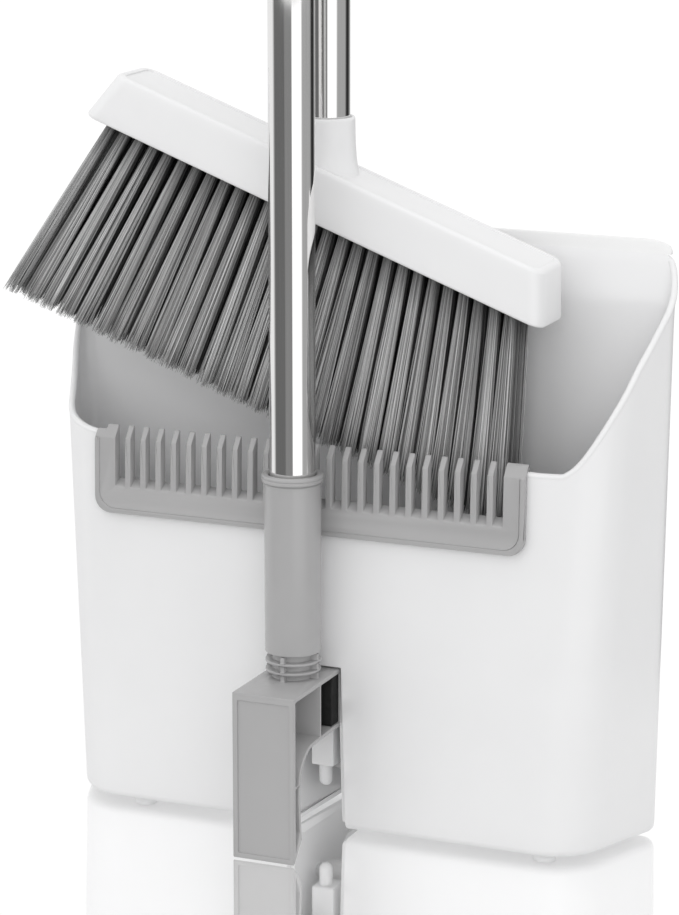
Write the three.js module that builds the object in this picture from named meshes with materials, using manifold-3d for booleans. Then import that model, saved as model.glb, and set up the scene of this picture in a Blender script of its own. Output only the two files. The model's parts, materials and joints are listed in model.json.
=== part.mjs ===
// Long-handled dustpan and broom set, standing in its storage pose.
// Millimetres, +Z up, X along the pan's front wall, Y towards its back, floor at Z = 0.
import * as THREE from 'three';
import { ConvexGeometry } from 'three/addons/geometries/ConvexGeometry.js';
import { mergeVertices } from 'three/addons/utils/BufferGeometryUtils.js';
import Module from 'manifold-3d';

const wasm = await Module();
wasm.setup();

// ---------------------------------------------------------------- driving dimensions
const GAP = 0.3;                    // clearance between neighbouring pieces
const SIDES = 40;                   // facets round a tube
const DEG = Math.PI / 180;

// Origin: the middle of the footprint at floor level. The set is drawn about the pan's tube.
const ORIGIN_X = -0.90095;
const ORIGIN_Y = 18.9744;

// Pan: a scoop stood on its back end, mouth up.
const PAN_MID_X = 7.1;                // the pan's middle lies to the right of the tube
const PAN_BASE_Z = 1.8;             // underside, held off the floor by four studs
const PAN_THICK = 2.3;
const PAN_FRONT_Y = 12.45;          // outer front wall at the floor
const PAN_FRONT_LEAN = 0.0304;      // the front wall leans back going up
const PAN_BACK_Y = 69.6;            // outer back wall at the floor
const PAN_BACK_LEAN = -0.0285;      // the back wall leans forward going up
const PAN_HALF_W = 112.65;          // half width at the front wall's foot
const PAN_SPLAY = 0.38;             // side walls open out towards the back
const PAN_FLARE = 0.037;            // and slightly going up
const PAN_FRONT_R = 25;
const PAN_BACK_R = 8;
const FOLD_Z = 228;                 // the back wall bends outwards here
const LIP_Z = 247;                  // top of the hard wall, where the soft lip starts
const LIP_TOP_Z = 253;
const RAMP_LEAN = 0.2;              // lean of the bent top band
const WALL_TOP_Z = 162.8;           // front wall's top edge
// The rim climbs round each front corner (degrees round the corner, height), then along the side (Y, Z).
const CORNER_RIM = [[0, WALL_TOP_Z], [7.6, 165], [16.7, 168.5], [25.8, 173.9], [34.9, 180], [44.7, 186.8],
  [55.5, 193.8], [69.2, 202.4]];
const SIDE_RIM = [[33.4, 202.3], [61.5, 236], [63.4, 240], [64.6, LIP_Z + 1]];
// The left rim stays low round its corner and climbs late.
const LEFT_CORNER_RIM = [[0, 162.8], [15, 163.6], [30, 165], [45, 166.6], [60, 168.8], [69.2, 171]];
const LEFT_SIDE_RIM = [[31, 170.6], [45, 179], [56.1, 190]];
const LEFT_END_RIM = [[56, 190], [61, 200], [63.5, 225], [64.6, LIP_Z + 1]];
const LEFT_END_X = -122.4;           // the last climb stays left of this, so the back wall is whole
const STUD_R = 5;
const STUDS = [[-88, 24], [96, 24], [-96, 60], [104, 60]];

// Pocket for the hinge, open to the front and to the floor.
const POCKET_TOP_Z = 72.2;
const POCKET_LEFT = [-8.9, -3.9];   // left wall's X at the front and at the back
const POCKET_RIGHT = [18.3, 15.3];  // right wall's X at the floor and at the top
const POCKET_BACK_Y = 62.5;
const POCKET_WALL = 2.3;
const PIVOT_Y = 36;
const PIVOT_Z = 26;
const AXLE_R = 3;
const AXLE_BORE_R = 3.1;

// Bristle comb over the front wall's top edge, drawn upright and then leaned with the wall.
const COMB_LEFT = -98;
const COMB_RIGHT = 96;
const COMB_LOW = 128.6;
const COMB_FRONT_TOP = 160.9;
const COMB_BACK_TOP = 166.3;
const COMB_OFFSET = 3.2;            // front face ahead of the wall
const COMB_PLATE = 2.9;
const COMB_DEPTH = 5.1;
const COMB_BEVEL = 4.2;
const COMB_CORNER_R = 7;
const COMB_BORDER = 2.2;             // raised border along the foot and both ends
const COMB_BORDER_RAISE = 0.4;
const SLOT_COUNT = 25;
const SLOT_PITCH = 7.11;
const SLOT_WIDTH = 4.5;
const SLOT_FIRST = -86.2;           // middle of the first slot
const SLOT_LOW = 140;
const SLOT_RISE = 3.4;              // the slot's floor slopes up to the back

// Hinge bracket: an upside-down L, hollow and open on its right side.
const ARM_LEFT = -13.4;
const ARM_RIGHT = 14.3;
const ARM_FRONT_Y = -31.6;
const ARM_TOP_Z = 71.3;
const ARM_LOW_Z = 46;
const ARM_STEP_Y = 8;               // full width ends here, the tongue goes on
const TONGUE_LEFT = -4.8;
const TONGUE_BACK_Y = 44;
const BUFFER_BACK_Y = 15.7;
const LEG_BACK_Y = -25.2;
const LEG_BEVEL_Z = 8.6;
const ARCH_R = 15;
const BRACKET_SKIN = 1.9;
const PANEL_INSET = 2.3;
const PANEL_DEPTH = 0.8;
const BARREL_R = 5.1;
const EAR_LEFT = 10.6;
const CAGE_TOP_Z = 81.9;
const CAGE_RING = 1.2;
const CAGE_R = 11.6;
const CAGE_CORE_R = 8.6;

// Tubes, sleeve, joints, grips.
const TUBE_R = 9.5;
const TUBE_BORE_R = 8.6;
const SLEEVE_R = 11.8;
const SLEEVE_TOP_Z = 157.8;
const FLANGE_R = 12.9;
const FLANGE_H = 3.2;
const PAN_TUBE_JOINT_Z = 480;
const PAN_TUBE_TOP_Z = 878;
const PAN_GRIP_LEN = 112;
const JOINT_R = 10.6;
const JOINT_LEN = 16;
const GRIP_R = 12.4;
const CAP_LEN = 30;
const HANG_HOLE_R = 5;

// Broom: an angled head hung behind the pan's tube.
const BROOM_Y = 36;
const HEAD_TILT = 20.4 * DEG;       // right end down
const HEAD_LOW_Z = 257.5;           // middle of the head's underside
const HEAD_HALF_LOW = 105.8;
const HEAD_LEFT_MORE = 6.5;          // the left end reaches this much further
const HEAD_HALF_TOP = 97.3;
const HEAD_HIGH = 22.4;
const HEAD_DEEP = 30;
const HEAD_EDGE_R = 2.2;
const SOCKET_R = 11.6;
const SOCKET_TOP_Z = 300;
const SOCKET_FLOOR_Z = 283;
const PLATE_HALF = 100;
const BRISTLE_ROOT = [-103.2, 94];   // left and right ends
const BRISTLE_TIP = [-125, 120];
const BRISTLE_LEN = 88;
const BRISTLE_ROOT_DEEP = 20;
const BRISTLE_TIP_DEEP = 23;
const BROOM_JOINTS_Z = [631, 979];
const BROOM_TUBE_TOP_Z = 1326;
const BROOM_GRIP_LEN = 120;

// Clip between the two tubes.
const CLIP_Z = 560;
const CLIP_H = 26;
const CLIP_R = 12.6;
const CLIP_JAW_IN = 9.9;
const CLIP_JAW_OUT = 12.8;

// ---------------------------------------------------------------- finishes
const finish = (color, roughness, metalness) =>
  new THREE.MeshStandardMaterial({ color, roughness, metalness });
const WHITE = finish(0xf0f0f0, 0.35, 0);
const SOFT_WHITE = finish(0xe6e6e4, 0.6, 0);
const GREY = finish(0xa6a6a7, 0.45, 0);
const DARK_GREY = finish(0x8c8c8d, 0.7, 0);
const DARK = finish(0x1c1c1c, 0.8, 0);
const BRISTLE = finish(0x6f6f70, 0.8, 0);
const CHROME = finish(0xd8d8da, 0.12, 1);
const STEEL = finish(0xb8b8ba, 0.3, 1);

// ---------------------------------------------------------------- solids and joining
const pieces = new THREE.Group();

function solid(geometry) {
  const bare = geometry.index ? geometry.toNonIndexed() : geometry.clone();
  bare.deleteAttribute('normal');
  if (bare.attributes.uv) bare.deleteAttribute('uv');
  const merged = mergeVertices(bare, 1e-4);
  return new wasm.Manifold(new wasm.Mesh({
    numProp: 3,
    vertProperties: new Float32Array(merged.attributes.position.array),
    triVerts: new Uint32Array(merged.index.array),
  }));
}

function toGeometry(manifold) {
  const mesh = manifold.getMesh();
  const geometry = new THREE.BufferGeometry();
  geometry.setAttribute('position', new THREE.BufferAttribute(new Float32Array(mesh.vertProperties), 3));
  geometry.setIndex(new THREE.BufferAttribute(new Uint32Array(mesh.triVerts), 1));
  geometry.computeVertexNormals();
  return geometry;
}

function put(name, shape, material, parent = pieces) {
  const geometry = shape.isBufferGeometry ? shape : toGeometry(shape);
  const mesh = new THREE.Mesh(geometry, material);
  mesh.name = name;
  parent.add(mesh);
  return mesh;
}

const union = (first, ...rest) => rest.reduce((sum, part) => sum.add(part), first);
const cut = (first, ...rest) => rest.reduce((sum, part) => sum.subtract(part), first);

function box(x0, x1, y0, y1, z0, z1) {
  const geometry = new THREE.BoxGeometry(x1 - x0, y1 - y0, z1 - z0);
  return solid(geometry.translate((x0 + x1) / 2, (y0 + y1) / 2, (z0 + z1) / 2));
}

// A hull round a list of [x, y, z] points.
function hull(points) {
  return solid(new ConvexGeometry(points.map((p) => new THREE.Vector3(...p))));
}

function shapeOf(points) {
  return new THREE.Shape(points.map((p) => new THREE.Vector2(...p)));
}

// An outline in (Y, Z) pushed along +X from x0 to x1.
function alongX(points, x0, x1) {
  const geometry = new THREE.ExtrudeGeometry(shapeOf(points), { depth: x1 - x0, steps: 1, bevelEnabled: false });
  const turn = new THREE.Matrix4().set(0, 0, 1, x0, 1, 0, 0, 0, 0, 1, 0, 0, 0, 0, 0, 1);
  return solid(geometry.applyMatrix4(turn));
}

// An outline in (X, Z) pushed along +Y from y0 to y1.
function alongY(points, y0, y1) {
  const geometry = new THREE.ExtrudeGeometry(shapeOf(points), { depth: y1 - y0, steps: 1, bevelEnabled: false });
  return solid(geometry.rotateX(Math.PI / 2).translate(0, y1, 0));
}

// A lathe about a vertical axis at (x, y); the profile is a closed list of [radius, z].
function turned(profile, x = 0, y = 0, sides = SIDES) {
  const points = profile.map((p) => new THREE.Vector2(...p));
  if (profile[0][0] > 0) points.push(points[0].clone());
  return solid(new THREE.LatheGeometry(points, sides).rotateX(Math.PI / 2).translate(x, y, 0));
}

function rod(radius, z0, z1, x = 0, y = 0, sides = SIDES) {
  return turned([[0, z0], [radius, z0], [radius, z1], [0, z1]], x, y, sides);
}

function pipe(outer, inner, z0, z1, x = 0, y = 0) {
  return turned([[inner, z0], [outer, z0], [outer, z1], [inner, z1]], x, y);
}

function rodAlongX(radius, x0, x1, y, z, sides = 32) {
  const geometry = new THREE.CylinderGeometry(radius, radius, x1 - x0, sides);
  return solid(geometry.rotateZ(Math.PI / 2).translate((x0 + x1) / 2, y, z));
}

function rodAlongY(radius, y0, y1, x, z, sides = 28) {
  const geometry = new THREE.CylinderGeometry(radius, radius, y1 - y0, sides);
  return solid(geometry.translate(x, (y0 + y1) / 2, z));
}

// ---------------------------------------------------------------- pan
// Plan outline of the pan at a height: a trapezium with rounded corners, inset by a wall's thickness.
function panOutline(z, backY, inset) {
  const frontY = PAN_FRONT_Y + PAN_FRONT_LEAN * z;
  const halfAt = (y) => PAN_HALF_W + PAN_SPLAY * (y - PAN_FRONT_Y) + PAN_FLARE * z;
  const slope = Math.atan(PAN_SPLAY);
  const points = [];
  for (const side of [1, -1]) {
    const arc = (centreX, centreY, radius, from, to, steps) => {
      for (let i = 0; i <= steps; i += 1) {
        const a = from + ((to - from) * i) / steps;
        points.push([PAN_MID_X + side * (centreX + radius * Math.cos(a)), centreY + radius * Math.sin(a), z]);
      }
    };
    const frontShift = PAN_FRONT_R * Math.tan((Math.PI / 2 - slope) / 2);
    const frontX = halfAt(frontY) - frontShift;
    arc(frontX, frontY + PAN_FRONT_R, PAN_FRONT_R - inset, -Math.PI / 2, -slope, 10);
    const backShift = PAN_BACK_R * Math.tan((Math.PI / 2 + slope) / 2);
    arc(halfAt(backY) - backShift, backY - PAN_BACK_R, PAN_BACK_R - inset, -slope, Math.PI / 2, 7);
  }
  return points;
}

function panBody(inset) {
  const backAt = (z) => PAN_BACK_Y + PAN_BACK_LEAN * z;
  const topBack = backAt(FOLD_Z) + RAMP_LEAN * (LIP_Z - FOLD_Z);
  const low = inset > 0 ? PAN_BASE_Z + PAN_THICK : PAN_BASE_Z;
  const top = inset > 0 ? LIP_Z + 2 : LIP_Z;
  const topShift = RAMP_LEAN * (top - LIP_Z);
  const main = hull([...panOutline(low, backAt(low), inset), ...panOutline(FOLD_Z, backAt(FOLD_Z), inset)]);
  const band = hull([...panOutline(FOLD_Z, backAt(FOLD_Z), inset), ...panOutline(top, topBack + topShift, inset)]);
  return union(main, band);
}

function pocket(grow, top, backY) {
  const [leftFront, leftBack] = POCKET_LEFT;
  const [rightLow, rightTop] = POCKET_RIGHT;
  const y0 = grow > 0 ? PAN_FRONT_Y + 0.2 : -5;
  const z0 = grow > 0 ? PAN_BASE_Z : -5;
  return hull([
    [leftFront - grow, y0, z0], [leftFront - grow, y0, top], [leftBack - grow, backY, z0],
    [leftBack - grow, backY, top], [rightLow + grow, y0, z0], [rightTop + grow, y0, top],
    [rightLow + grow, backY, z0], [rightTop + grow, backY, top],
  ]);
}

// Everything above the rim: flat over the front, climbing round the corners, sloping along the sides.
function aboveRim() {
  const midZ = 180;
  const frontY = PAN_FRONT_Y + PAN_FRONT_LEAN * midZ;
  const slope = Math.atan(PAN_SPLAY);
  const half = PAN_HALF_W + PAN_SPLAY * (frontY - PAN_FRONT_Y) + PAN_FLARE * midZ;
  const centreX = half - PAN_FRONT_R * Math.tan((Math.PI / 2 - slope) / 2);
  const centreY = frontY + PAN_FRONT_R;
  const front = box(PAN_MID_X - centreX, PAN_MID_X + centreX, -20, centreY, WALL_TOP_Z, 400);
  const overSide = (rim, x0, x1) => alongX([...rim, [rim.at(-1)[0], 400], [rim[0][0], 400]], x0, x1);
  const wedges = [-1, 1].flatMap((side) => (side < 0 ? LEFT_CORNER_RIM : CORNER_RIM).slice(1).map(([to, zTo], i) => {
    const [from, zFrom] = (side < 0 ? LEFT_CORNER_RIM : CORNER_RIM)[i];
    return hull([[from, zFrom], [to, zTo]].flatMap(([deg, z]) => [12, 34].flatMap((r) => [z, 400].map((h) => [
      PAN_MID_X + side * (centreX + r * Math.sin(deg * DEG)), centreY - r * Math.cos(deg * DEG), h,
    ]))));
  }));
  const left = union(overSide(LEFT_SIDE_RIM, -200, -60), overSide(LEFT_END_RIM, -200, LEFT_END_X));
  return union(front, left, overSide(SIDE_RIM, 0, 200), ...wedges);
}

function makePan() {
  const outer = panBody(0);
  let shell = cut(outer, panBody(PAN_THICK), aboveRim());
  const housing = pocket(POCKET_WALL, POCKET_TOP_Z + POCKET_WALL, POCKET_BACK_Y + 6).intersect(outer);
  shell = cut(union(shell, housing), pocket(0, POCKET_TOP_Z, POCKET_BACK_Y));
  shell = cut(shell, rodAlongX(AXLE_BORE_R, -12, 24, PIVOT_Y, PIVOT_Z));
  const [windowLeft, windowRight] = combWindowSpan();
  const combWindow = box(windowLeft, windowRight, 0, 25, SLOT_LOW - 1, WALL_TOP_Z + 5);
  shell = cut(shell, combWindow);
  const studs = STUDS.map(([x, y]) => rod(STUD_R, 0, PAN_BASE_Z + 0.5, PAN_MID_X + x, y, 20));
  // The rim cuts can leave a sliver of less than 0.1 cubic millimetre beside the pan: only the pan is kept.
  const [pan] = union(shell, ...studs).decompose().sort((a, b) => b.volume() - a.volume());
  put('pan_shell', pan, WHITE);

  const lipOuter = hull([...panOutline(LIP_Z + GAP, lipBack(LIP_Z + GAP), 0.1),
    ...panOutline(LIP_TOP_Z, lipBack(LIP_TOP_Z), 0.6)]);
  const lipInner = hull([...panOutline(LIP_Z - 1, lipBack(LIP_Z - 1), PAN_THICK),
    ...panOutline(LIP_TOP_Z + 1, lipBack(LIP_TOP_Z + 1), PAN_THICK - 0.9)]);
  const keep = box(-200, 200, lipBack(LIP_Z) - 9, 120, 200, 300);
  put('pan_lip', cut(lipOuter, lipInner).intersect(keep), SOFT_WHITE);
}

function lipBack(z) {
  return PAN_BACK_Y + PAN_BACK_LEAN * FOLD_Z + RAMP_LEAN * (z - FOLD_Z);
}

function makeAxle() {
  const shaft = union(
    rodAlongX(AXLE_R, -10.9, 20.6, PIVOT_Y, PIVOT_Z),
    rodAlongX(AXLE_R + 1.8, 20.4, 22.4, PIVOT_Y, PIVOT_Z),
  );
  put('hinge_axle', shaft, STEEL);
  const cap = cut(
    rodAlongX(AXLE_R + 2.2, -13, -9.8, PIVOT_Y, PIVOT_Z),
    rodAlongX(AXLE_BORE_R, -11.2, -8, PIVOT_Y, PIVOT_Z),
  );
  put('axle_cap', cap, WHITE);
}

// ---------------------------------------------------------------- comb
// The stretch of front wall that is open behind the comb's slots.
function combWindowSpan() {
  const last = SLOT_FIRST + (SLOT_COUNT - 1) * SLOT_PITCH;
  return [SLOT_FIRST - SLOT_WIDTH, last + SLOT_WIDTH];
}

function makeComb() {
  const corner = [];
  for (let i = 0; i <= 6; i += 1) {
    const a = Math.PI / 2 * (i / 6);
    corner.push([COMB_CORNER_R * (1 - Math.sin(a)), COMB_CORNER_R * (1 - Math.cos(a))]);
  }
  const face = [
    [COMB_LEFT, COMB_FRONT_TOP],
    ...corner.map(([x, z]) => [COMB_LEFT + x, COMB_LOW + z]).reverse(),
    ...corner.map(([x, z]) => [COMB_RIGHT - x, COMB_LOW + z]),
    [COMB_RIGHT, COMB_FRONT_TOP],
  ];
  const plate = alongY(face, 0, COMB_PLATE);
  const rack = alongX([[0, SLOT_LOW - 4], [0, COMB_FRONT_TOP], [COMB_BEVEL, COMB_BACK_TOP],
    [COMB_DEPTH, COMB_BACK_TOP], [COMB_DEPTH, SLOT_LOW + 1.4], [COMB_PLATE, SLOT_LOW - 0.4],
    [COMB_PLATE, SLOT_LOW - 4]], COMB_LEFT, COMB_RIGHT);
  let comb = union(plate, rack);
  // The end blocks hook over the wall's edge.
  const wallTop = WALL_TOP_Z + 0.4;
  const [windowLeft, windowRight] = combWindowSpan();
  for (const [x0, x1] of [[COMB_LEFT - 1, windowLeft + GAP], [windowRight - GAP, COMB_RIGHT + 1]]) {
    comb = cut(comb, box(x0, x1, COMB_PLATE, 20, 100, wallTop));
  }
  comb = cut(comb, box(COMB_LEFT - 1, COMB_LEFT + 4.5, COMB_PLATE, 20, 100, 200));
  for (let i = 0; i < SLOT_COUNT; i += 1) {
    const x = SLOT_FIRST + i * SLOT_PITCH;
    const slot = alongX([[-2, SLOT_LOW - SLOT_RISE * 0.4], [8, SLOT_LOW + SLOT_RISE * 1.6], [8, 200], [-2, 200]],
      x - SLOT_WIDTH / 2, x + SLOT_WIDTH / 2);
    comb = cut(comb, slot);
  }
  // A raised border runs along the foot and up both ends.
  const inner = [
    [COMB_LEFT + COMB_BORDER, COMB_BACK_TOP + 9],
    ...corner.map(([x, z]) => [COMB_LEFT + COMB_BORDER + x, COMB_LOW + COMB_BORDER + z]).reverse(),
    ...corner.map(([x, z]) => [COMB_RIGHT - COMB_BORDER - x, COMB_LOW + COMB_BORDER + z]),
    [COMB_RIGHT - COMB_BORDER, COMB_BACK_TOP + 9],
  ];
  comb = cut(comb, alongY(inner, -1, COMB_BORDER_RAISE));
  const placed = put('comb_rack', comb, GREY);
  const lean = Math.atan(PAN_FRONT_LEAN);
  placed.rotation.x = -lean;
  placed.position.y = PAN_FRONT_Y - COMB_OFFSET;
}

// ---------------------------------------------------------------- hinge bracket
function makeBracket() {
  const arch = [];
  for (let i = 0; i <= 8; i += 1) {
    const a = (Math.PI / 2) * (i / 8);
    arch.push([LEG_BACK_Y + ARCH_R * (1 - Math.cos(a)), ARM_LOW_Z - ARCH_R * (1 - Math.sin(a))]);
  }
  const outline = (inset, backY) => [
    [ARM_FRONT_Y + inset, ARM_TOP_Z - inset],
    [ARM_FRONT_Y + inset, inset * 2.4],
    [LEG_BACK_Y - inset + 1.4, LEG_BEVEL_Z + inset * 2.2],
    [LEG_BACK_Y - inset, 27],
    ...arch.map(([y, z]) => [y - inset * 0.8, z + inset * 0.8]),
    [backY, ARM_LOW_Z + inset],
    [backY, ARM_TOP_Z - inset],
  ];
  const wide = alongX(outline(0, ARM_STEP_Y), ARM_LEFT, ARM_RIGHT);
  const tongue = box(TONGUE_LEFT, ARM_RIGHT, ARM_STEP_Y - 1, TONGUE_BACK_Y, ARM_LOW_Z, ARM_TOP_Z);
  let body = union(wide, tongue);
  const hollowWide = alongX(outline(BRACKET_SKIN, ARM_STEP_Y - BRACKET_SKIN), ARM_LEFT + BRACKET_SKIN, ARM_RIGHT + 1);
  const hollowTongue = box(TONGUE_LEFT + BRACKET_SKIN, ARM_RIGHT + 1, ARM_STEP_Y - BRACKET_SKIN - 0.1,
    TONGUE_BACK_Y - BRACKET_SKIN, ARM_LOW_Z + BRACKET_SKIN, ARM_TOP_Z - BRACKET_SKIN);
  body = cut(body, hollowWide, hollowTongue);
  const ribs = [
    box(ARM_LEFT + 1, ARM_RIGHT, -4.5, -3.5, ARM_LOW_Z + 1, ARM_TOP_Z - 1),
    box(-2.6, ARM_RIGHT - 3, 0.2, 1.2, ARM_LOW_Z + 1, ARM_TOP_Z - 12),
    box(ARM_LEFT + 1, ARM_RIGHT, ARM_FRONT_Y + 1, LEG_BACK_Y - 0.6, 32.4, 33.4),
    box(TONGUE_LEFT + 1, ARM_RIGHT, 16, 17, ARM_LOW_Z + 1, ARM_TOP_Z - 1),
  ];
  body = union(body, ...ribs);
  const panel = box(ARM_LEFT + PANEL_INSET, ARM_RIGHT - PANEL_INSET, ARM_FRONT_Y - 1,
    ARM_FRONT_Y + PANEL_DEPTH, PANEL_INSET, ARM_TOP_Z - PANEL_INSET - 1);
  body = cut(body, panel);
  const ear = hull([
    [EAR_LEFT, 29, ARM_LOW_Z + 1], [EAR_LEFT, 43, ARM_LOW_Z + 1], [EAR_LEFT, 31.6, PIVOT_Z],
    [EAR_LEFT, 40.4, PIVOT_Z], [ARM_RIGHT, 29, ARM_LOW_Z + 1], [ARM_RIGHT, 43, ARM_LOW_Z + 1],
    [ARM_RIGHT, 31.6, PIVOT_Z], [ARM_RIGHT, 40.4, PIVOT_Z],
  ]);
  const barrel = rodAlongX(BARREL_R, 0.4, ARM_RIGHT, PIVOT_Y, PIVOT_Z);
  body = cut(union(body, ear, barrel), rodAlongX(AXLE_BORE_R, -3, 20, PIVOT_Y, PIVOT_Z));
  // Cage under the sleeve: a core, two rings and four ribs.
  const slots = (CAGE_TOP_Z - ARM_TOP_Z - 2 * CAGE_RING) / 3;
  const parts = [rod(CAGE_CORE_R, ARM_TOP_Z - 1, CAGE_TOP_Z)];
  for (let i = 1; i <= 2; i += 1) {
    const z = ARM_TOP_Z + i * slots + (i - 1) * CAGE_RING;
    parts.push(rod(CAGE_R, z, z + CAGE_RING));
  }
  parts.push(box(-0.9, 0.9, -CAGE_R + 0.2, CAGE_R - 0.2, ARM_TOP_Z - 1, CAGE_TOP_Z));
  parts.push(box(-CAGE_R + 0.2, CAGE_R - 0.2, -0.9, 0.9, ARM_TOP_Z - 1, CAGE_TOP_Z));
  put('hinge_bracket', union(body, ...parts), GREY);

  // Rubber buffer that fills the tongue's first compartment.
  put('hinge_buffer', box(TONGUE_LEFT + BRACKET_SKIN + GAP, ARM_RIGHT - 0.5, ARM_STEP_Y + 0.2, BUFFER_BACK_Y,
    ARM_LOW_Z + BRACKET_SKIN + GAP, ARM_TOP_Z - BRACKET_SKIN - GAP), DARK);

  put('latch_block', box(0.3, 10.3, 18, 30, 27, ARM_LOW_Z - GAP), WHITE);
  const nose = [[0, 17.1]];
  for (let i = 1; i <= 6; i += 1) {
    const a = (Math.PI / 2) * (i / 6);
    nose.push([2.9 * Math.sin(a), 17.1 + 2.9 * (1 - Math.cos(a))]);
  }
  put('latch_pin', turned([...nose, [2.9, 27 - GAP], [0, 27 - GAP]], 5, 22.6, 24), WHITE);
}

// ---------------------------------------------------------------- tubes and grips
function makeGrip(prefix, x, y, z0, length) {
  const floor = z0 + length;
  const grip = [
    [TUBE_R + 0.25, z0], [GRIP_R - 1, z0], [GRIP_R, z0 + 2], [GRIP_R, z0 + 8], [GRIP_R - 0.9, z0 + 14],
    [GRIP_R - 0.9, floor - 18], [GRIP_R + 0.2, floor - 8], [GRIP_R + 0.2, floor],
    [TUBE_R + 0.25, floor],
  ];
  put(`${prefix}_grip`, turned(grip, x, y), DARK_GREY);
  const top = floor + CAP_LEN;
  const cap = turned([[0, floor + GAP], [GRIP_R, floor + GAP], [GRIP_R, floor + 4], [GRIP_R - 1.4, top - 7],
    [GRIP_R - 4.6, top - 1.6], [GRIP_R - 7.5, top], [0, top]], x, y);
  const flats = cut(box(x - 30, x + 30, y - 30, y + 30, floor + 7, top + 5),
    box(x - 40, x + 40, y - 5.2, y + 5.2, floor, top + 10));
  const hole = rodAlongY(HANG_HOLE_R, y - 20, y + 20, x, floor + 17);
  put(`${prefix}_hang_cap`, cut(cap, flats, hole), GREY);
}

function makeJoint(prefix, x, y, z) {
  const half = JOINT_LEN / 2;
  const ring = [[TUBE_R + 0.3, z - half], [JOINT_R - 0.5, z - half], [JOINT_R, z - half + 0.8],
    [JOINT_R, z + half - 0.8], [JOINT_R - 0.5, z + half], [TUBE_R + 0.3, z + half]];
  put(`${prefix}_collar`, turned(ring, x, y), GREY);
  put(`${prefix}_plug`, rod(TUBE_BORE_R - GAP, z - 30, z + 30, x, y, 24), GREY);
}

function makePanPole() {
  const sleeveLow = CAGE_TOP_Z + GAP;
  const flangeLow = SLEEVE_TOP_Z - FLANGE_H;
  const sleeve = [[TUBE_R + 0.25, sleeveLow + 2], [CAGE_CORE_R, sleeveLow + 2], [CAGE_CORE_R, sleeveLow],
    [SLEEVE_R - 0.15, sleeveLow], [SLEEVE_R, flangeLow - 0.6],
    [SLEEVE_R - 0.35, flangeLow - 0.3], [SLEEVE_R - 0.35, flangeLow], [FLANGE_R - 0.3, flangeLow],
    [FLANGE_R, flangeLow + 0.5], [FLANGE_R, flangeLow + 1.3], [FLANGE_R - 0.4, flangeLow + 1.6],
    [FLANGE_R, flangeLow + 1.9], [FLANGE_R - 0.1, SLEEVE_TOP_Z - 0.6], [FLANGE_R - 0.8, SLEEVE_TOP_Z],
    [TUBE_R + 0.9, SLEEVE_TOP_Z], [TUBE_R + 0.25, SLEEVE_TOP_Z - 0.8]];
  put('pole_sleeve', turned(sleeve), GREY);
  const footZ = sleeveLow + 2 + GAP;
  put('pan_tube_lower', pipe(TUBE_R, TUBE_BORE_R, footZ, PAN_TUBE_JOINT_Z - GAP / 2), CHROME);
  put('pan_tube_upper', pipe(TUBE_R, TUBE_BORE_R, PAN_TUBE_JOINT_Z + GAP / 2, PAN_TUBE_TOP_Z), CHROME);
  makeJoint('pan_tube', 0, 0, PAN_TUBE_JOINT_Z);
  makeGrip('pan', 0, 0, PAN_TUBE_TOP_Z - PAN_GRIP_LEN + 6, PAN_GRIP_LEN);
}

function makeClip() {
  const low = CLIP_Z - CLIP_H / 2;
  const top = CLIP_Z + CLIP_H / 2;
  const collar = pipe(CLIP_R, TUBE_R + 0.3, low, top);
  const bridge = cut(box(-CLIP_JAW_OUT, CLIP_JAW_OUT, 3, BROOM_Y, low, top), rod(CLIP_R - 0.2, low - 1, top + 1));
  const jaw = union(bridge, rod(CLIP_JAW_OUT, low, top, 0, BROOM_Y),
    box(-CLIP_JAW_OUT, CLIP_JAW_OUT, BROOM_Y, BROOM_Y + 6, low, top));
  const mouth = union(rod(CLIP_JAW_IN, low - 1, top + 1, 0, BROOM_Y),
    box(-CLIP_JAW_IN, CLIP_JAW_IN, BROOM_Y, BROOM_Y + 30, low - 1, top + 1),
    box(-30, 30, BROOM_Y + 6, BROOM_Y + 40, low - 1, top + 1));
  const neck = union(box(7.4, 20, 14, 22.5, low - 1, top + 1), box(-20, -7.4, 14, 22.5, low - 1, top + 1));
  const screwHole = rodAlongY(2.3, -20, -TUBE_R + 2, 0, CLIP_Z, 20);
  put('pole_clip', cut(union(collar, cut(jaw, mouth, neck)), screwHole), GREY);
  const screw = union(rodAlongY(1.9, -13.6, -TUBE_R - 0.3, 0, CLIP_Z, 20), rodAlongY(3.6, -15, -13, 0, CLIP_Z, 20));
  put('clip_screw', screw, STEEL);
}

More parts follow.
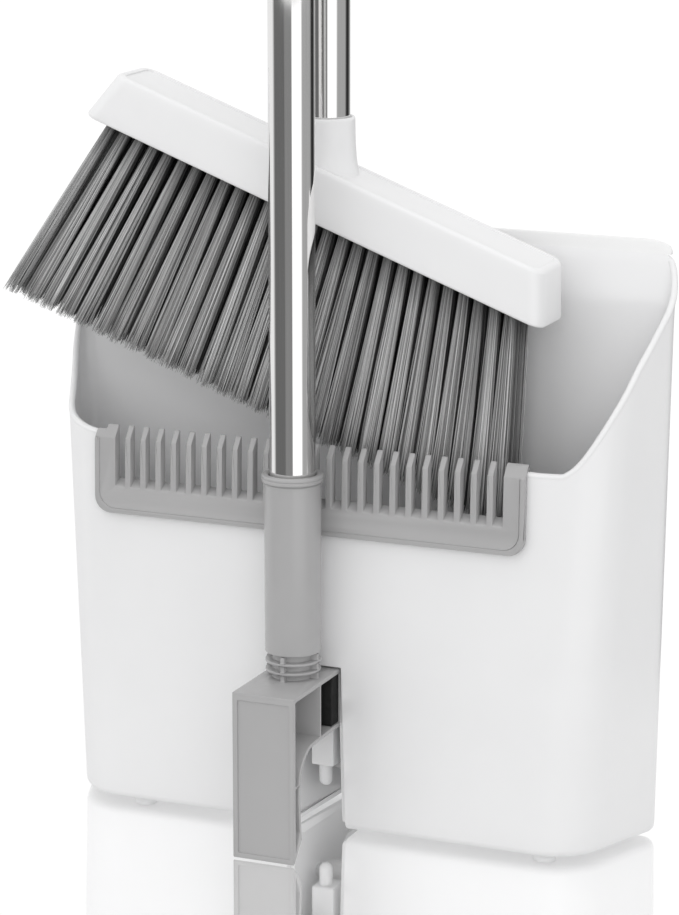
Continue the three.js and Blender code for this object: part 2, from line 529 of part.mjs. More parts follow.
// ---------------------------------------------------------------- broom
function makeBroom() {
  const head = new THREE.Group();
  head.position.set(0, BROOM_Y, HEAD_LOW_Z);
  head.rotation.y = HEAD_TILT;
  const half = HEAD_DEEP / 2;
  const side = [[HEAD_HALF_LOW - 1.4, 0], [HEAD_HALF_LOW, 1.4], [HEAD_HALF_TOP + 1.4, HEAD_HIGH - 3.4],
    [HEAD_HALF_TOP + 0.2, HEAD_HIGH - 1.2], [HEAD_HALF_TOP - 2.6, HEAD_HIGH]];
  // Every step towards the front or back face draws the outline in, so all edges come out round.
  const skins = [0, 30, 60, 90].flatMap((deg) => {
    const inset = HEAD_EDGE_R * (1 - Math.cos(deg * DEG));
    const depth = half - HEAD_EDGE_R + HEAD_EDGE_R * Math.sin(deg * DEG);
    return side.flatMap(([x, z]) => [-1, 1].flatMap((sx) => [-1, 1].map((sy) => [
      sx * (x - inset) - (sx < 0 ? HEAD_LEFT_MORE : 0), sy * depth, inset + z * (1 - (2 * inset) / HEAD_HIGH),
    ])));
  });
  const block = hull(skins);
  const bed = box(-PLATE_HALF - 0.3, PLATE_HALF + 0.3, -11.3, 11.3, -1, 3.3);
  const upright = new THREE.Matrix4().makeRotationY(-HEAD_TILT);
  const stand = (geometry) => solid(geometry.rotateX(Math.PI / 2).applyMatrix4(upright));
  const lathe = (profile) => new THREE.LatheGeometry(profile.map((p) => new THREE.Vector2(...p)), SIDES);
  const socketTop = SOCKET_TOP_Z - HEAD_LOW_Z;
  const socket = stand(lathe([[0, 12], [SOCKET_R + 2.2, 12], [SOCKET_R + 1.6, 22], [SOCKET_R + 0.3, 27],
    [SOCKET_R, 30], [SOCKET_R - 0.2, socketTop - 0.6], [SOCKET_R - 0.8, socketTop], [0, socketTop]]));
  const bore = stand(lathe([[0, SOCKET_FLOOR_Z - HEAD_LOW_Z], [TUBE_R + 0.3, SOCKET_FLOOR_Z - HEAD_LOW_Z],
    [TUBE_R + 0.3, socketTop + 5], [0, socketTop + 5]]));
  put('broom_head', cut(union(block, socket), bed, bore), WHITE, head);
  put('bristle_plate', box(-PLATE_HALF, PLATE_HALF, -11, 11, 0.3, 3), DARK_GREY, head);

  const fan = hull([0, 1].flatMap((end) => [-1, 1].flatMap((sy) => [
    [BRISTLE_ROOT[end], sy * BRISTLE_ROOT_DEEP / 2, -0.1],
    [BRISTLE_TIP[end], sy * BRISTLE_TIP_DEEP / 2, -BRISTLE_LEN],
  ])));
  // The tips that would meet the pan's left side wall are cut back above its sloping rim.
  const intoHead = new THREE.Matrix4().makeRotationY(HEAD_TILT).setPosition(0, BROOM_Y, HEAD_LOW_Z).invert();
  const rimGuard = new ConvexGeometry([
    [-160, 20, 190], [-160, 60, 239], [-108, 20, 190], [-108, 60, 239],
    [-160, 20, 100], [-160, 60, 100], [-108, 20, 100], [-108, 60, 100],
  ].map((p) => new THREE.Vector3(...p)));
  put('broom_bristles', cut(fan, solid(rimGuard.applyMatrix4(intoHead))), BRISTLE, head);
  pieces.add(head);

  const footZ = SOCKET_FLOOR_Z + GAP;
  const [jointA, jointB] = BROOM_JOINTS_Z;
  const y = BROOM_Y;
  put('broom_tube_lower', pipe(TUBE_R, TUBE_BORE_R, footZ, jointA - GAP / 2, 0, y), CHROME);
  put('broom_tube_middle', pipe(TUBE_R, TUBE_BORE_R, jointA + GAP / 2, jointB - GAP / 2, 0, y), CHROME);
  put('broom_tube_upper', pipe(TUBE_R, TUBE_BORE_R, jointB + GAP / 2, BROOM_TUBE_TOP_Z, 0, y), CHROME);
  makeJoint('broom_tube_a', 0, y, jointA);
  makeJoint('broom_tube_b', 0, y, jointB);
  makeGrip('broom', 0, y, BROOM_TUBE_TOP_Z - BROOM_GRIP_LEN + 6, BROOM_GRIP_LEN);
}

makePan();
makeAxle();
makeComb();
makeBracket();
makePanPole();
makeClip();
makeBroom();

pieces.position.set(-ORIGIN_X, -ORIGIN_Y, 0);
const dustpanAndBroom = new THREE.Group();
dustpanAndBroom.add(pieces);

export default dustpanAndBroom;
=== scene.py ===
"""Looks of a long-handled dustpan with its angled broom stored upright in the pan.

Lengths in the classes are millimetres measured from the axis of the pan's own handle tube: X runs along the
pan's front wall, Y towards its back wall and Z up from the floor. Meshes are handed to Blender in metres.
"""

import json
import logging
import math
from dataclasses import dataclass
from enum import Enum
from typing import Sequence

import bmesh
import bpy
import numpy as np
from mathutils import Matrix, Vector


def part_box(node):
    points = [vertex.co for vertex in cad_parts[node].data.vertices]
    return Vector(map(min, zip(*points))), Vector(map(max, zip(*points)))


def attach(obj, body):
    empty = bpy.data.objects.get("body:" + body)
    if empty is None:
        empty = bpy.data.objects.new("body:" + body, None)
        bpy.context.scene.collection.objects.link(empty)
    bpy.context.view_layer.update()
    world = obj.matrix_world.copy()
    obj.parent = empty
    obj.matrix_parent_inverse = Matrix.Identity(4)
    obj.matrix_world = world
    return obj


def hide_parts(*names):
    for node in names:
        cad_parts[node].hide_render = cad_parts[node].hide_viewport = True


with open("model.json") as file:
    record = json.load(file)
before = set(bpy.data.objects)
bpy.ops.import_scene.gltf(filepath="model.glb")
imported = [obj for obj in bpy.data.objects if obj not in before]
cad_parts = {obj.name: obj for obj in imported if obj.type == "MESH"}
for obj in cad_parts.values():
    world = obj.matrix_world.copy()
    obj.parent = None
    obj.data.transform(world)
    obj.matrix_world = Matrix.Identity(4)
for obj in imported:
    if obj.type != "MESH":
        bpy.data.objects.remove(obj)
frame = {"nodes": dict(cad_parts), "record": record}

LOG = logging.getLogger("dustpan")
Array = np.ndarray
MM = 0.001
SEED = 20411


def handle_axis() -> Array:
    """Where the pan's handle stands on the floor, in metres in the row frame.

    Returns:
        Its three coordinates, with zero height.
    """
    lo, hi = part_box("pan_tube_lower")
    return np.array([(lo.x + hi.x) / 2, (lo.y + hi.y) / 2, 0.0])


AXIS = handle_axis()


class Body(Enum):
    """The rigid bodies a piece can ride on."""

    PAN = "pan"
    POLE = "pole"
    BROOM = "broom"


# --------------------------------------------------------------------------- finishes
class Nodes:
    """A small helper round one material's node tree."""

    def __init__(self, name: str) -> None:
        """Starts an empty material.

        Args:
            name: The material's name.
        """
        self.material = bpy.data.materials.new(name)
        self.material.use_nodes = True
        self.tree = self.material.node_tree
        self.tree.nodes.clear()
        self.shader = self.add("ShaderNodeBsdfPrincipled")
        output = self.add("ShaderNodeOutputMaterial")
        self.link(self.shader.outputs["BSDF"], output.inputs["Surface"])

    def add(self, kind: str, **values: object) -> bpy.types.Node:
        """Adds a node and sets its attributes.

        Args:
            kind: Blender's node type.
            **values: Attributes of the node.

        Returns:
            The new node.
        """
        node = self.tree.nodes.new(kind)
        for key, value in values.items():
            setattr(node, key, value)
        return node

    def link(self, source: bpy.types.NodeSocket, target: bpy.types.NodeSocket) -> None:
        """Joins two sockets."""
        self.tree.links.new(source, target)

    def place(self, stretch: Sequence[float] = (1, 1, 1)) -> bpy.types.NodeSocket:
        """Object coordinates, stretched.

        Args:
            stretch: Factors along the three axes.

        Returns:
            The socket that carries the coordinates.
        """
        coords = self.add("ShaderNodeTexCoord")
        mapping = self.add("ShaderNodeMapping")
        mapping.inputs["Scale"].default_value = tuple(stretch)
        self.link(coords.outputs["Object"], mapping.inputs["Vector"])
        return mapping.outputs["Vector"]

    def noise(self, where: bpy.types.NodeSocket, size_mm: float, detail: float = 2.0) -> bpy.types.NodeSocket:
        """Noise whose blobs are about size_mm across.

        Args:
            where: Coordinates.
            size_mm: Size of the pattern.
            detail: Octaves.

        Returns:
            The noise value's socket.
        """
        noise = self.add("ShaderNodeTexNoise")
        noise.inputs["Scale"].default_value = 1.0 / (size_mm * MM)
        noise.inputs["Detail"].default_value = detail
        self.link(where, noise.inputs["Vector"])
        return noise.outputs["Fac"]

    def spread(self, value: bpy.types.NodeSocket, low: float, high: float) -> bpy.types.NodeSocket:
        """Maps noise values between 0.3 and 0.7 to low and high.

        Args:
            value: The noise.
            low: Result at 0.3.
            high: Result at 0.7.

        Returns:
            The mapped socket.
        """
        remap = self.add("ShaderNodeMapRange")
        for socket, number in zip(remap.inputs[1:5], (0.3, 0.7, low, high)):
            socket.default_value = number
        self.link(value, remap.inputs[0])
        return remap.outputs[0]

    def tones(
        self, value: bpy.types.NodeSocket, stops: Sequence[tuple[float, Sequence[float]]]
    ) -> bpy.types.NodeSocket:
        """A colour ramp.

        Args:
            value: What drives it.
            stops: Positions with their colours.

        Returns:
            The colour socket.
        """
        ramp = self.add("ShaderNodeValToRGB")
        band = ramp.color_ramp
        while len(band.elements) < len(stops):
            band.elements.new(0.5)
        for element, (where, colour) in zip(band.elements, stops):
            element.position = where
            element.color = (*colour, 1.0)
        self.link(value, ramp.inputs["Fac"])
        return ramp.outputs["Color"]

    def bump(self, height: bpy.types.NodeSocket, depth_mm: float, strength: float) -> bpy.types.NodeSocket:
        """A bump from a height.

        Args:
            height: The height pattern.
            depth_mm: Its full depth.
            strength: How much of it counts.

        Returns:
            The normal socket.
        """
        bump = self.add("ShaderNodeBump")
        bump.inputs["Strength"].default_value = strength
        bump.inputs["Distance"].default_value = depth_mm * MM
        self.link(height, bump.inputs["Height"])
        return bump.outputs["Normal"]


def shade(colour: Sequence[float], factor: float) -> tuple[float, ...]:
    """The colour with every channel multiplied."""
    return tuple(min(1.0, c * factor) for c in colour)


@dataclass(frozen=True)
class Moulded:
    """A moulded plastic or rubber with faint flow tone, orange peel and a fine grain.

    Attributes:
        name: Name of the finish.
        slot: The record's material slot.
        colour: Linear base colour.
        roughness: Middle roughness.
        tone: How far the colour wanders, as a fraction.
        grain_mm: Size of the moulded grain.
        grain_depth: Depth of the grain in millimetres.
        coat: Weight of the clear top layer that gives the gloss.
        sheen: Weight of the dusty edge light of soft rubber.
    """

    name: str
    slot: str
    colour: tuple[float, float, float]
    roughness: float
    tone: float = 0.02
    grain_mm: float = 0.5
    grain_depth: float = 0.02
    coat: float = 0.0
    sheen: float = 0.0

    def build(self) -> bpy.types.Material:
        """Makes the material.

        Returns:
            The finished material.
        """
        nodes = Nodes(self.name)
        where = nodes.place()
        flow = nodes.noise(where, 38.0, 3.0)
        low, high = shade(self.colour, 1 - self.tone), shade(self.colour, 1 + self.tone)
        nodes.link(nodes.tones(flow, [(0.35, low), (0.65, high)]), nodes.shader.inputs["Base Color"])
        peel = nodes.noise(where, 4.5, 2.0)
        wear = nodes.spread(peel, self.roughness * 0.88, self.roughness * 1.12)
        nodes.link(wear, nodes.shader.inputs["Roughness"])
        grain = nodes.noise(where, self.grain_mm, 2.0)
        nodes.link(nodes.bump(grain, self.grain_depth, 0.35), nodes.shader.inputs["Normal"])
        nodes.shader.inputs["Coat Weight"].default_value = self.coat
        nodes.shader.inputs["Coat Roughness"].default_value = 0.18
        nodes.shader.inputs["Sheen Weight"].default_value = self.sheen
        nodes.shader.inputs["Sheen Roughness"].default_value = 0.5
        return nodes.material


@dataclass(frozen=True)
class Polished:
    """Bright metal with draw lines along the tube.

    Attributes:
        name: Name of the finish.
        slot: The record's material slot.
        colour: Linear reflectance.
        roughness: Middle roughness.
        lines: Stretch of the draw lines; 1 is no stretch.
    """

    name: str
    slot: str
    colour: tuple[float, float, float]
    roughness: float
    lines: float = 0.01

    def build(self) -> bpy.types.Material:
        """Makes the material.

        Returns:
            The finished material.
        """
        nodes = Nodes(self.name)
        where = nodes.place((1, 1, self.lines))
        streak = nodes.noise(where, 0.5, 3.0)
        low, high = shade(self.colour, 0.97), shade(self.colour, 1.03)
        nodes.link(nodes.tones(streak, [(0.3, low), (0.7, high)]), nodes.shader.inputs["Base Color"])
        smear = nodes.noise(nodes.place((1, 1, 0.2)), 14.0, 2.0)
        wear = nodes.spread(smear, self.roughness * 0.8, self.roughness * 1.25)
        nodes.link(wear, nodes.shader.inputs["Roughness"])
        nodes.link(nodes.bump(streak, 0.004, 0.12), nodes.shader.inputs["Normal"])
        nodes.shader.inputs["Metallic"].default_value = 1.0
        return nodes.material


@dataclass(frozen=True)
class Fibre:
    """Bristle filament whose tone is stored on each filament: its own random tone with painted shade and painted
    light multiplied in.

    Attributes:
        name: Name of the finish.
        slot: The record's material slot.
        dark: Linear colour of the darkest filaments, near black for the painted shade between tufts.
        light: Linear colour of the lightest.
        roughness: Roughness of a filament.
    """

    name: str
    slot: str
    dark: tuple[float, float, float]
    light: tuple[float, float, float]
    roughness: float

    def build(self) -> bpy.types.Material:
        """Makes the material.

        Returns:
            The finished material.
        """
        nodes = Nodes(self.name)
        tone = nodes.add("ShaderNodeAttribute", attribute_name="tone")
        middle = tuple((a + b) / 2 for a, b in zip(self.dark, self.light))
        colour = nodes.tones(tone.outputs["Fac"], [(0.0, self.dark), (0.55, middle), (1.0, self.light)])
        nodes.link(colour, nodes.shader.inputs["Base Color"])
        patch = nodes.noise(nodes.place(), 3.0, 2.0)
        wear = nodes.spread(patch, self.roughness * 0.85, self.roughness * 1.15)
        nodes.link(wear, nodes.shader.inputs["Roughness"])
        nodes.shader.inputs["Specular IOR Level"].default_value = 0.6
        return nodes.material


class Finish(Enum):
    """Every finish on the set."""

    WHITE = Moulded("white_plastic", "white_plastic", (0.83, 0.83, 0.835), 0.32, 0.008, 0.8, 0.006, coat=0.25)
    LIP = Moulded("soft_lip", "lip_rubber", (0.84, 0.84, 0.84), 0.5, 0.01, 0.6, 0.01)
    GREY = Moulded("grey_plastic", "grey_plastic", (0.385, 0.382, 0.384), 0.42, 0.02, 0.45, 0.012, coat=0.6)
    GRIP = Moulded("soft_grip", "grip_rubber", (0.19, 0.19, 0.195), 0.62, 0.04, 0.35, 0.03, sheen=0.25)
    BED = Moulded("bristle_bed", "bristle_bed", (0.03, 0.03, 0.03), 0.7, 0.05, 0.6, 0.03)
    # Near-black finish that paints shade: it stands for the dark inside the hinge foot's deep hollow.
    BUFFER = Moulded("painted_hollow_shade", "buffer_rubber", (0.006, 0.006, 0.006), 0.8, 0.1, 0.6, 0.02)
    CHROME = Polished("bright_tube", "chrome_tube", (0.88, 0.875, 0.87), 0.055)
    STEEL = Polished("pin_steel", "steel", (0.56, 0.56, 0.57), 0.24, 0.3)
    BRISTLE = Fibre("bristle_fibre", "bristle_fibre", (0.003, 0.003, 0.003), (0.76, 0.76, 0.76), 0.5)


class Paintbox:
    """Builds each finish once and hands it out."""

    def __init__(self) -> None:
        """Starts with no material made."""
        self.made: dict[Finish, bpy.types.Material] = {}

    def get(self, finish: Finish) -> bpy.types.Material:
        """The material of a finish.

        Args:
            finish: Which finish.

        Returns:
            Its material, made on first use.
        """
        if finish not in self.made:
            self.made[finish] = finish.value.build()
        return self.made[finish]


PAINT = Paintbox()


# --------------------------------------------------------------------------- meshes
@dataclass(frozen=True)
class Edge:
    """How a piece's edges are finished by modifiers.

    Attributes:
        width: Bevel width in millimetres; 0 leaves the edges as they are.
        segments: Bevel segments.
        angle: Edges sharper than this, in degrees, are bevelled.
        wall: Wall thickness added on the inside, in millimetres; 0 for none.
        smooth: Edges sharper than this, in degrees, shade sharp.
    """

    width: float = 0.0
    segments: int = 3
    angle: float = 40.0
    wall: float = 0.0
    smooth: float = 32.0


@dataclass
class Sheet:
    """Points in millimetres about the handle's axis, with quads between them.

    Attributes:
        points: One point a row.
        quads: Four point numbers a row.
    """

    points: Array
    quads: Array

    def __add__(self, other: "Sheet") -> "Sheet":
        """Puts two sheets in one mesh."""
        quads = np.vstack([self.quads, other.quads + len(self.points)])
        return Sheet(np.vstack([self.points, other.points]), quads)


def quads_of(rows: int, cols: int, wrap: bool = False, keep: Array | None = None) -> Array:
    """Quads of a grid of points stored row by row.

    Each quad joins (i, j), (i, j+1), (i+1, j+1), (i+1, j).

    Args:
        rows: Number of rows of points.
        cols: Number of columns of points.
        wrap: Whether the last column joins the first.
        keep: Which quads stay, one flag each, or None for all.

    Returns:
        Vertex numbers, four to a row.
    """
    i = np.arange(rows - 1)[:, None]
    j = np.arange(cols if wrap else cols - 1)[None, :]
    k = (j + 1) % cols
    faces = np.stack([i * cols + j, i * cols + k, (i + 1) * cols + k, (i + 1) * cols + j], axis=-1)
    return faces[keep] if keep is not None else faces.reshape(-1, 4)


def sheet_of(points: Array, wrap: bool = False, flip: bool = False, keep: Array | None = None) -> Sheet:
    """Turns a grid of points (rows, columns, 3) into a sheet.

    Args:
        points: The grid.
        wrap: Whether the last column joins the first.
        flip: Whether the faces point the other way.
        keep: Which quads stay.

    Returns:
        The sheet.
    """
    quads = quads_of(points.shape[0], points.shape[1], wrap, keep)
    return Sheet(points.reshape(-1, 3), quads[:, ::-1] if flip else quads)


def turned(profile: Sequence[tuple[float, float]], x: float = 0.0, y: float = 0.0, sides: int = 96) -> Sheet:
    """A closed profile of (radius, height) turned about a vertical axis.

    A point is (x + r cos a, y + r sin a, z) for every angle a and every profile point (r, z); the last profile
    point joins the first.

    Args:
        profile: Points in order, up the outside and down the inside.
        x: Where the axis stands.
        y: Where the axis stands.
        sides: Facets round the axis.

    Returns:
        The sheet.
    """
    rz = np.array([*profile, profile[0]], float)
    a = np.linspace(0, 2 * np.pi, sides, endpoint=False)
    r, z = rz[:, :1], rz[:, 1:]
    grid = np.stack([x + r * np.cos(a), y + r * np.sin(a), z + 0 * a], axis=-1)
    return sheet_of(grid, wrap=True)


def rounded(corners: Sequence[tuple[float, float, float]], steps: int = 6) -> list[tuple[float, float]]:
    """Rounds the corners of an open profile.

    Each inner corner (r, z, radius) is replaced by a quadratic curve that leaves and meets its two sides at the
    given distance from the corner.

    Args:
        corners: Points with a rounding distance each.
        steps: Points on each rounding.

    Returns:
        The profile's points.
    """
    pts = np.array([c[:2] for c in corners], float)
    out: list[tuple[float, float]] = [tuple(pts[0])]
    t = np.linspace(0, 1, steps)[:, None]
    for before, here, after, (_, _, reach) in zip(pts[:-2], pts[1:-1], pts[2:], corners[1:-1]):
        if reach <= 0:
            out.append(tuple(here))
            continue
        a = here + (before - here) * min(0.49, reach / np.linalg.norm(before - here))
        b = here + (after - here) * min(0.49, reach / np.linalg.norm(after - here))
        out.extend(map(tuple, (1 - t) ** 2 * a + 2 * t * (1 - t) * here + t**2 * b))
    out.append(tuple(pts[-1]))
    return out


def to_object(name: str, sheet: Sheet, merge: bool = True) -> bpy.types.Object:
    """Makes a mesh object at the origin with its place in its vertices.

    Args:
        name: The piece's name.
        sheet: Its surface in millimetres.
        merge: Whether coinciding points are joined.

    Returns:
        The object, linked to the scene.
    """
    mesh = bpy.data.meshes.new(name)
    points = sheet.points * MM + AXIS
    mesh.vertices.add(len(points))
    mesh.vertices.foreach_set("co", points.astype(np.float32).ravel())
    mesh.loops.add(sheet.quads.size)
    mesh.loops.foreach_set("vertex_index", sheet.quads.astype(np.int32).ravel())
    mesh.polygons.add(len(sheet.quads))
    mesh.polygons.foreach_set("loop_start", np.arange(0, sheet.quads.size, 4, dtype=np.int32))
    mesh.update(calc_edges=True)
    if merge:
        bm = bmesh.new()
        bm.from_mesh(mesh)
        bmesh.ops.remove_doubles(bm, verts=bm.verts, dist=2e-6)
        bmesh.ops.dissolve_degenerate(bm, edges=bm.edges, dist=1e-6)
        loose = [v for v in bm.verts if not v.link_faces]
        bmesh.ops.delete(bm, geom=loose, context="VERTS")
        bm.to_mesh(mesh)
        bm.free()
    obj = bpy.data.objects.new(name, mesh)
    bpy.context.scene.collection.objects.link(obj)
    return obj


def dress(
    obj: bpy.types.Object, finish: Finish, body: Body, stands_for: Sequence[str], edge: Edge, clamp: bool = True
) -> bpy.types.Object:
    """Gives a piece its modifiers, shading, material and body.

    Args:
        obj: The piece.
        finish: Its finish.
        body: The body it rides on.
        stands_for: CAD nodes it replaces.
        edge: Its wall and edges.
        clamp: Whether bevels that would overlap are narrowed.

    Returns:
        The piece.
    """
    mesh = obj.data
    mesh.materials.clear()
    mesh.materials.append(PAINT.get(finish))
    mesh.shade_smooth()
    if edge.wall > 0:
        wall = obj.modifiers.new("wall", "SOLIDIFY")
        wall.thickness = edge.wall * MM
        wall.offset = -1.0
        wall.use_even_offset = True
        wall.use_quality_normals = True
    if edge.width > 0:
        bevel = obj.modifiers.new("edges", "BEVEL")
        bevel.width = edge.width * MM
        bevel.segments = edge.segments
        bevel.limit_method = "ANGLE"
        bevel.angle_limit = math.radians(edge.angle)
        bevel.use_clamp_overlap = clamp
        bevel.harden_normals = False
        bevel.miter_outer = "MITER_ARC"
    if edge.width > 0 or edge.wall > 0:
        bake_modifiers(obj)
    obj.data.set_sharp_from_angle(angle=math.radians(edge.smooth))
    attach(obj, body.value)
    if stands_for:
        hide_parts(*stands_for)
    LOG.info("%s: %d faces on %s", obj.name, len(obj.data.polygons), body.value)
    return obj


def bake_modifiers(obj: bpy.types.Object) -> None:
    """Puts the result of the modifiers into the mesh.

    Args:
        obj: The piece.
    """
    graph = bpy.context.evaluated_depsgraph_get()
    final = bpy.data.meshes.new_from_object(obj.evaluated_get(graph), depsgraph=graph)
    old = obj.data
    obj.modifiers.clear()
    final.name = old.name
    obj.data = final
    bpy.data.meshes.remove(old)


def finer(node: str, name: str, finish: Finish, body: Body, edge: Edge, clamp: bool = False) -> bpy.types.Object:
    """A copy of a CAD node with its facets joined into faces and its edges softened.

    Args:
        node: The CAD node.
        name: The piece's name.
        finish: Its finish.
        body: The body it rides on.
        edge: How its edges are softened.
        clamp: Whether bevels that would overlap are narrowed.

    Returns:
        The piece.
    """
    source = frame["nodes"][node]
    mesh = source.data.copy()
    mesh.name = name
    mesh.materials.clear()
    bm = bmesh.new()
    bm.from_mesh(mesh)
    bmesh.ops.remove_doubles(bm, verts=bm.verts, dist=4e-6)
    bmesh.ops.join_triangles(
        bm, faces=bm.faces, angle_face_threshold=math.radians(0.5), angle_shape_threshold=math.radians(170)
    )
    bm.to_mesh(mesh)
    bm.free()
    for attribute in ("custom_normal", "sharp_face"):
        if attribute in mesh.attributes:
            mesh.attributes.remove(mesh.attributes[attribute])
    obj = bpy.data.objects.new(name, mesh)
    bpy.context.scene.collection.objects.link(obj)
    return dress(obj, finish, body, [node], edge, clamp)


# --------------------------------------------------------------------------- pan
class Side(Enum):
    """What a column of the pan's wall belongs to."""

    FRONT = 0
    FRONT_ARC = 1
    FLANK = 2
    BACK_ARC = 3
    BACK = 4


@dataclass
class Pan:
    """The scoop with its hinge pocket, its comb window and its soft lip.

    Attributes:
        mid: X of the pan's middle plane.
        base: Height of the floor's underside above the ground.
        thick: Wall thickness.
        front: Y of the front wall at the floor.
        front_lean: How far the front wall goes back for each millimetre up.
        back: Y of the back wall at the floor.
        back_lean: How far the back wall goes back for each millimetre up.
        half: Half the width at the front wall's foot.
        splay: How far a flank goes outwards for each millimetre towards the back.
        flare: How far a flank goes outwards for each millimetre up.
        front_r: Radius of the front corners.
        back_r: Radius of the back corners.
        foot_r: Radius between wall and floor.
        fold: Height where the back wall bends outwards.
        fold_gain: Lean that the bend adds.
        wall_top: Height of the front wall.
        hard_top: Height of the back wall's hard part.
        lip_top: Height of the soft lip.
        lip_low: Height where the lip's section starts, just inside the hard wall's top.
        lip_run_out: Share of the lip's length over which each end runs out.
        window: X of the two ends of the cut that the comb closes.
        window_low: Height of the cut's lower edge.
        pocket_left: X of the hinge pocket's left wall at the front and at the back.
        pocket_right: X of its right wall at the floor and at the top.
        pocket_top: Height of the pocket.
        pocket_back: Y of its back.
        bead_r: Radius of the roll along the rim.
        bead_sides: Facets round the roll.
        stud_places: X from the middle and Y of the four studs.
    """

    mid: float = 7.1
    base: float = 1.8
    thick: float = 2.3
    front: float = 12.45
    front_lean: float = 0.0304
    back: float = 69.6
    back_lean: float = -0.0285
    half: float = 112.65
    splay: float = 0.38
    flare: float = 0.037
    front_r: float = 25.0
    back_r: float = 8.0
    foot_r: float = 3.2
    fold: float = 228.0
    fold_gain: float = 0.2285
    wall_top: float = 162.8
    hard_top: float = 247.0
    lip_top: float = 253.0
    lip_low: float = 247.3
    lip_run_out: float = 0.05
    window: tuple[float, float] = (-90.7, 88.94)
    window_low: float = 139.0
    pocket_left: tuple[float, float] = (-8.9, -3.9)
    pocket_right: tuple[float, float] = (18.3, 15.3)
    pocket_top: float = 72.2
    pocket_back: float = 62.5
    bead_r: float = 1.4
    bead_sides: int = 16
    stud_places: tuple[tuple[float, float], ...] = ((-88, 24), (96, 24), (-96, 60), (104, 60))

    def slope(self) -> float:
        """Angle between a flank and the Y axis."""
        return math.atan(self.splay)

    def columns(self) -> tuple[Array, Array, Array, Array]:
        """The columns of the wall, once round from the back left corner through the front and home by the back.

        Returns:
            Kind, side sign, parameter (an angle or a fraction) and the index of the front or back stretch.
        """
        bend = self.slope()
        kinds: list[Array] = []

        def run(kind: Side, sign: int, first: float, last: float, count: int, stretch: int = 0) -> None:
            """Adds count columns from first towards last, the last left out."""
            t = np.linspace(first, last, count, endpoint=False)
            kinds.append(np.stack([np.full(count, kind.value), np.full(count, sign), t, np.full(count, stretch)]))

        half_way = (np.pi / 2 - bend) / 2
        run(Side.BACK_ARC, -1, half_way, -bend, 6)
        run(Side.FLANK, -1, 1.0, 0.0, 16)
        run(Side.FRONT_ARC, -1, -bend, -np.pi / 2, 20)
        for stretch, count in enumerate((3, 12, 4, 10, 3)):
            run(Side.FRONT, 1, 0.0, 1.0, count, stretch)
        run(Side.FRONT_ARC, 1, -np.pi / 2, -bend, 20)
        run(Side.FLANK, 1, 0.0, 1.0, 16)
        run(Side.BACK_ARC, 1, -bend, half_way, 6)
        run(Side.BACK_ARC, 1, half_way, np.pi / 2, 6)
        for stretch, count in ((2, 49), (1, 4), (0, 51)):
            run(Side.BACK, 1, 1.0, 0.0, count, stretch)
        run(Side.BACK_ARC, -1, np.pi / 2, half_way, 6)
        table = np.concatenate(kinds, axis=1)
        return table[0].astype(int), table[1], table[2], table[3].astype(int)

    def back_at(self, z: Array) -> Array:
        """The back wall's Y: a straight lean plus a soft kink outwards at the fold."""
        past = z - self.fold
        return self.back + self.back_lean * z + self.fold_gain * 0.5 * (past + np.sqrt(past**2 + 2.0**2))

    def outline(self, z: Array, inset: Array, cols: tuple[Array, Array, Array, Array]) -> Array:
        """Points of the wall for given heights and insets.

        The plan is a trapezium: the front line, flanks that open by splay, and the back line, joined by arcs.

        Args:
            z: Heights, rows by columns.
            inset: How far each point is drawn in from the outer skin.
            cols: The columns' table.

        Returns:
            Points, rows by columns by 3.
        """
        kind, sign, t, stretch = cols
        bend = self.slope()
        front = self.front + self.front_lean * z
        back = self.back_at(z)
        front_x = self.half + self.splay * (front - self.front) + self.flare * z
        front_x = front_x - self.front_r * math.tan((np.pi / 2 - bend) / 2)
        back_x = self.half + self.splay * (back - self.front) + self.flare * z
        back_x = back_x - self.back_r * math.tan((np.pi / 2 + bend) / 2)
        front_y, back_y = front + self.front_r, back - self.back_r
        angle = np.where(kind == Side.FLANK.value, -bend, t)
        fx = front_x + (self.front_r - inset) * np.cos(angle)
        fy = front_y + (self.front_r - inset) * np.sin(angle)
        bx = back_x + (self.back_r - inset) * np.cos(angle)
        by = back_y + (self.back_r - inset) * np.sin(angle)
        right = np.interp(z, [0.0, self.pocket_top], self.pocket_right)
        left = np.interp(z, [0.0, self.window_low], [self.window[0] + 8.0, self.window[0]])
        knots = np.stack([
            self.mid - front_x, left, np.full_like(z, self.pocket_left[0]), right,
            np.full_like(z, self.window[1]), self.mid + front_x,
        ])
        rear = np.stack([self.mid - back_x, np.full_like(z, -3.2), right, self.mid + back_x])

        def pick(table: Array, index: Array) -> Array:
            """Each column's own entry of a table of knots."""
            return np.take_along_axis(table, np.broadcast_to(index, z.shape)[None], axis=0)[0]

        front_line = pick(knots, stretch) * (1 - t) + pick(knots, stretch + 1) * t
        shallow = np.minimum(stretch, 2)
        back_line = pick(rear, shallow) * (1 - t) + pick(rear, shallow + 1) * t
        flank_x = fx * (1 - t) + bx * t
        sides = [kind == side.value for side in Side]
        arms = [self.mid + sign * reach for reach in (fx, flank_x, bx)]
        x = np.select(sides, [front_line, *arms, back_line])
        y = np.select(sides, [front + inset, fy, fy * (1 - t) + by * t, by, back - inset])
        return np.stack([x, y, z + 0 * x], axis=-1)

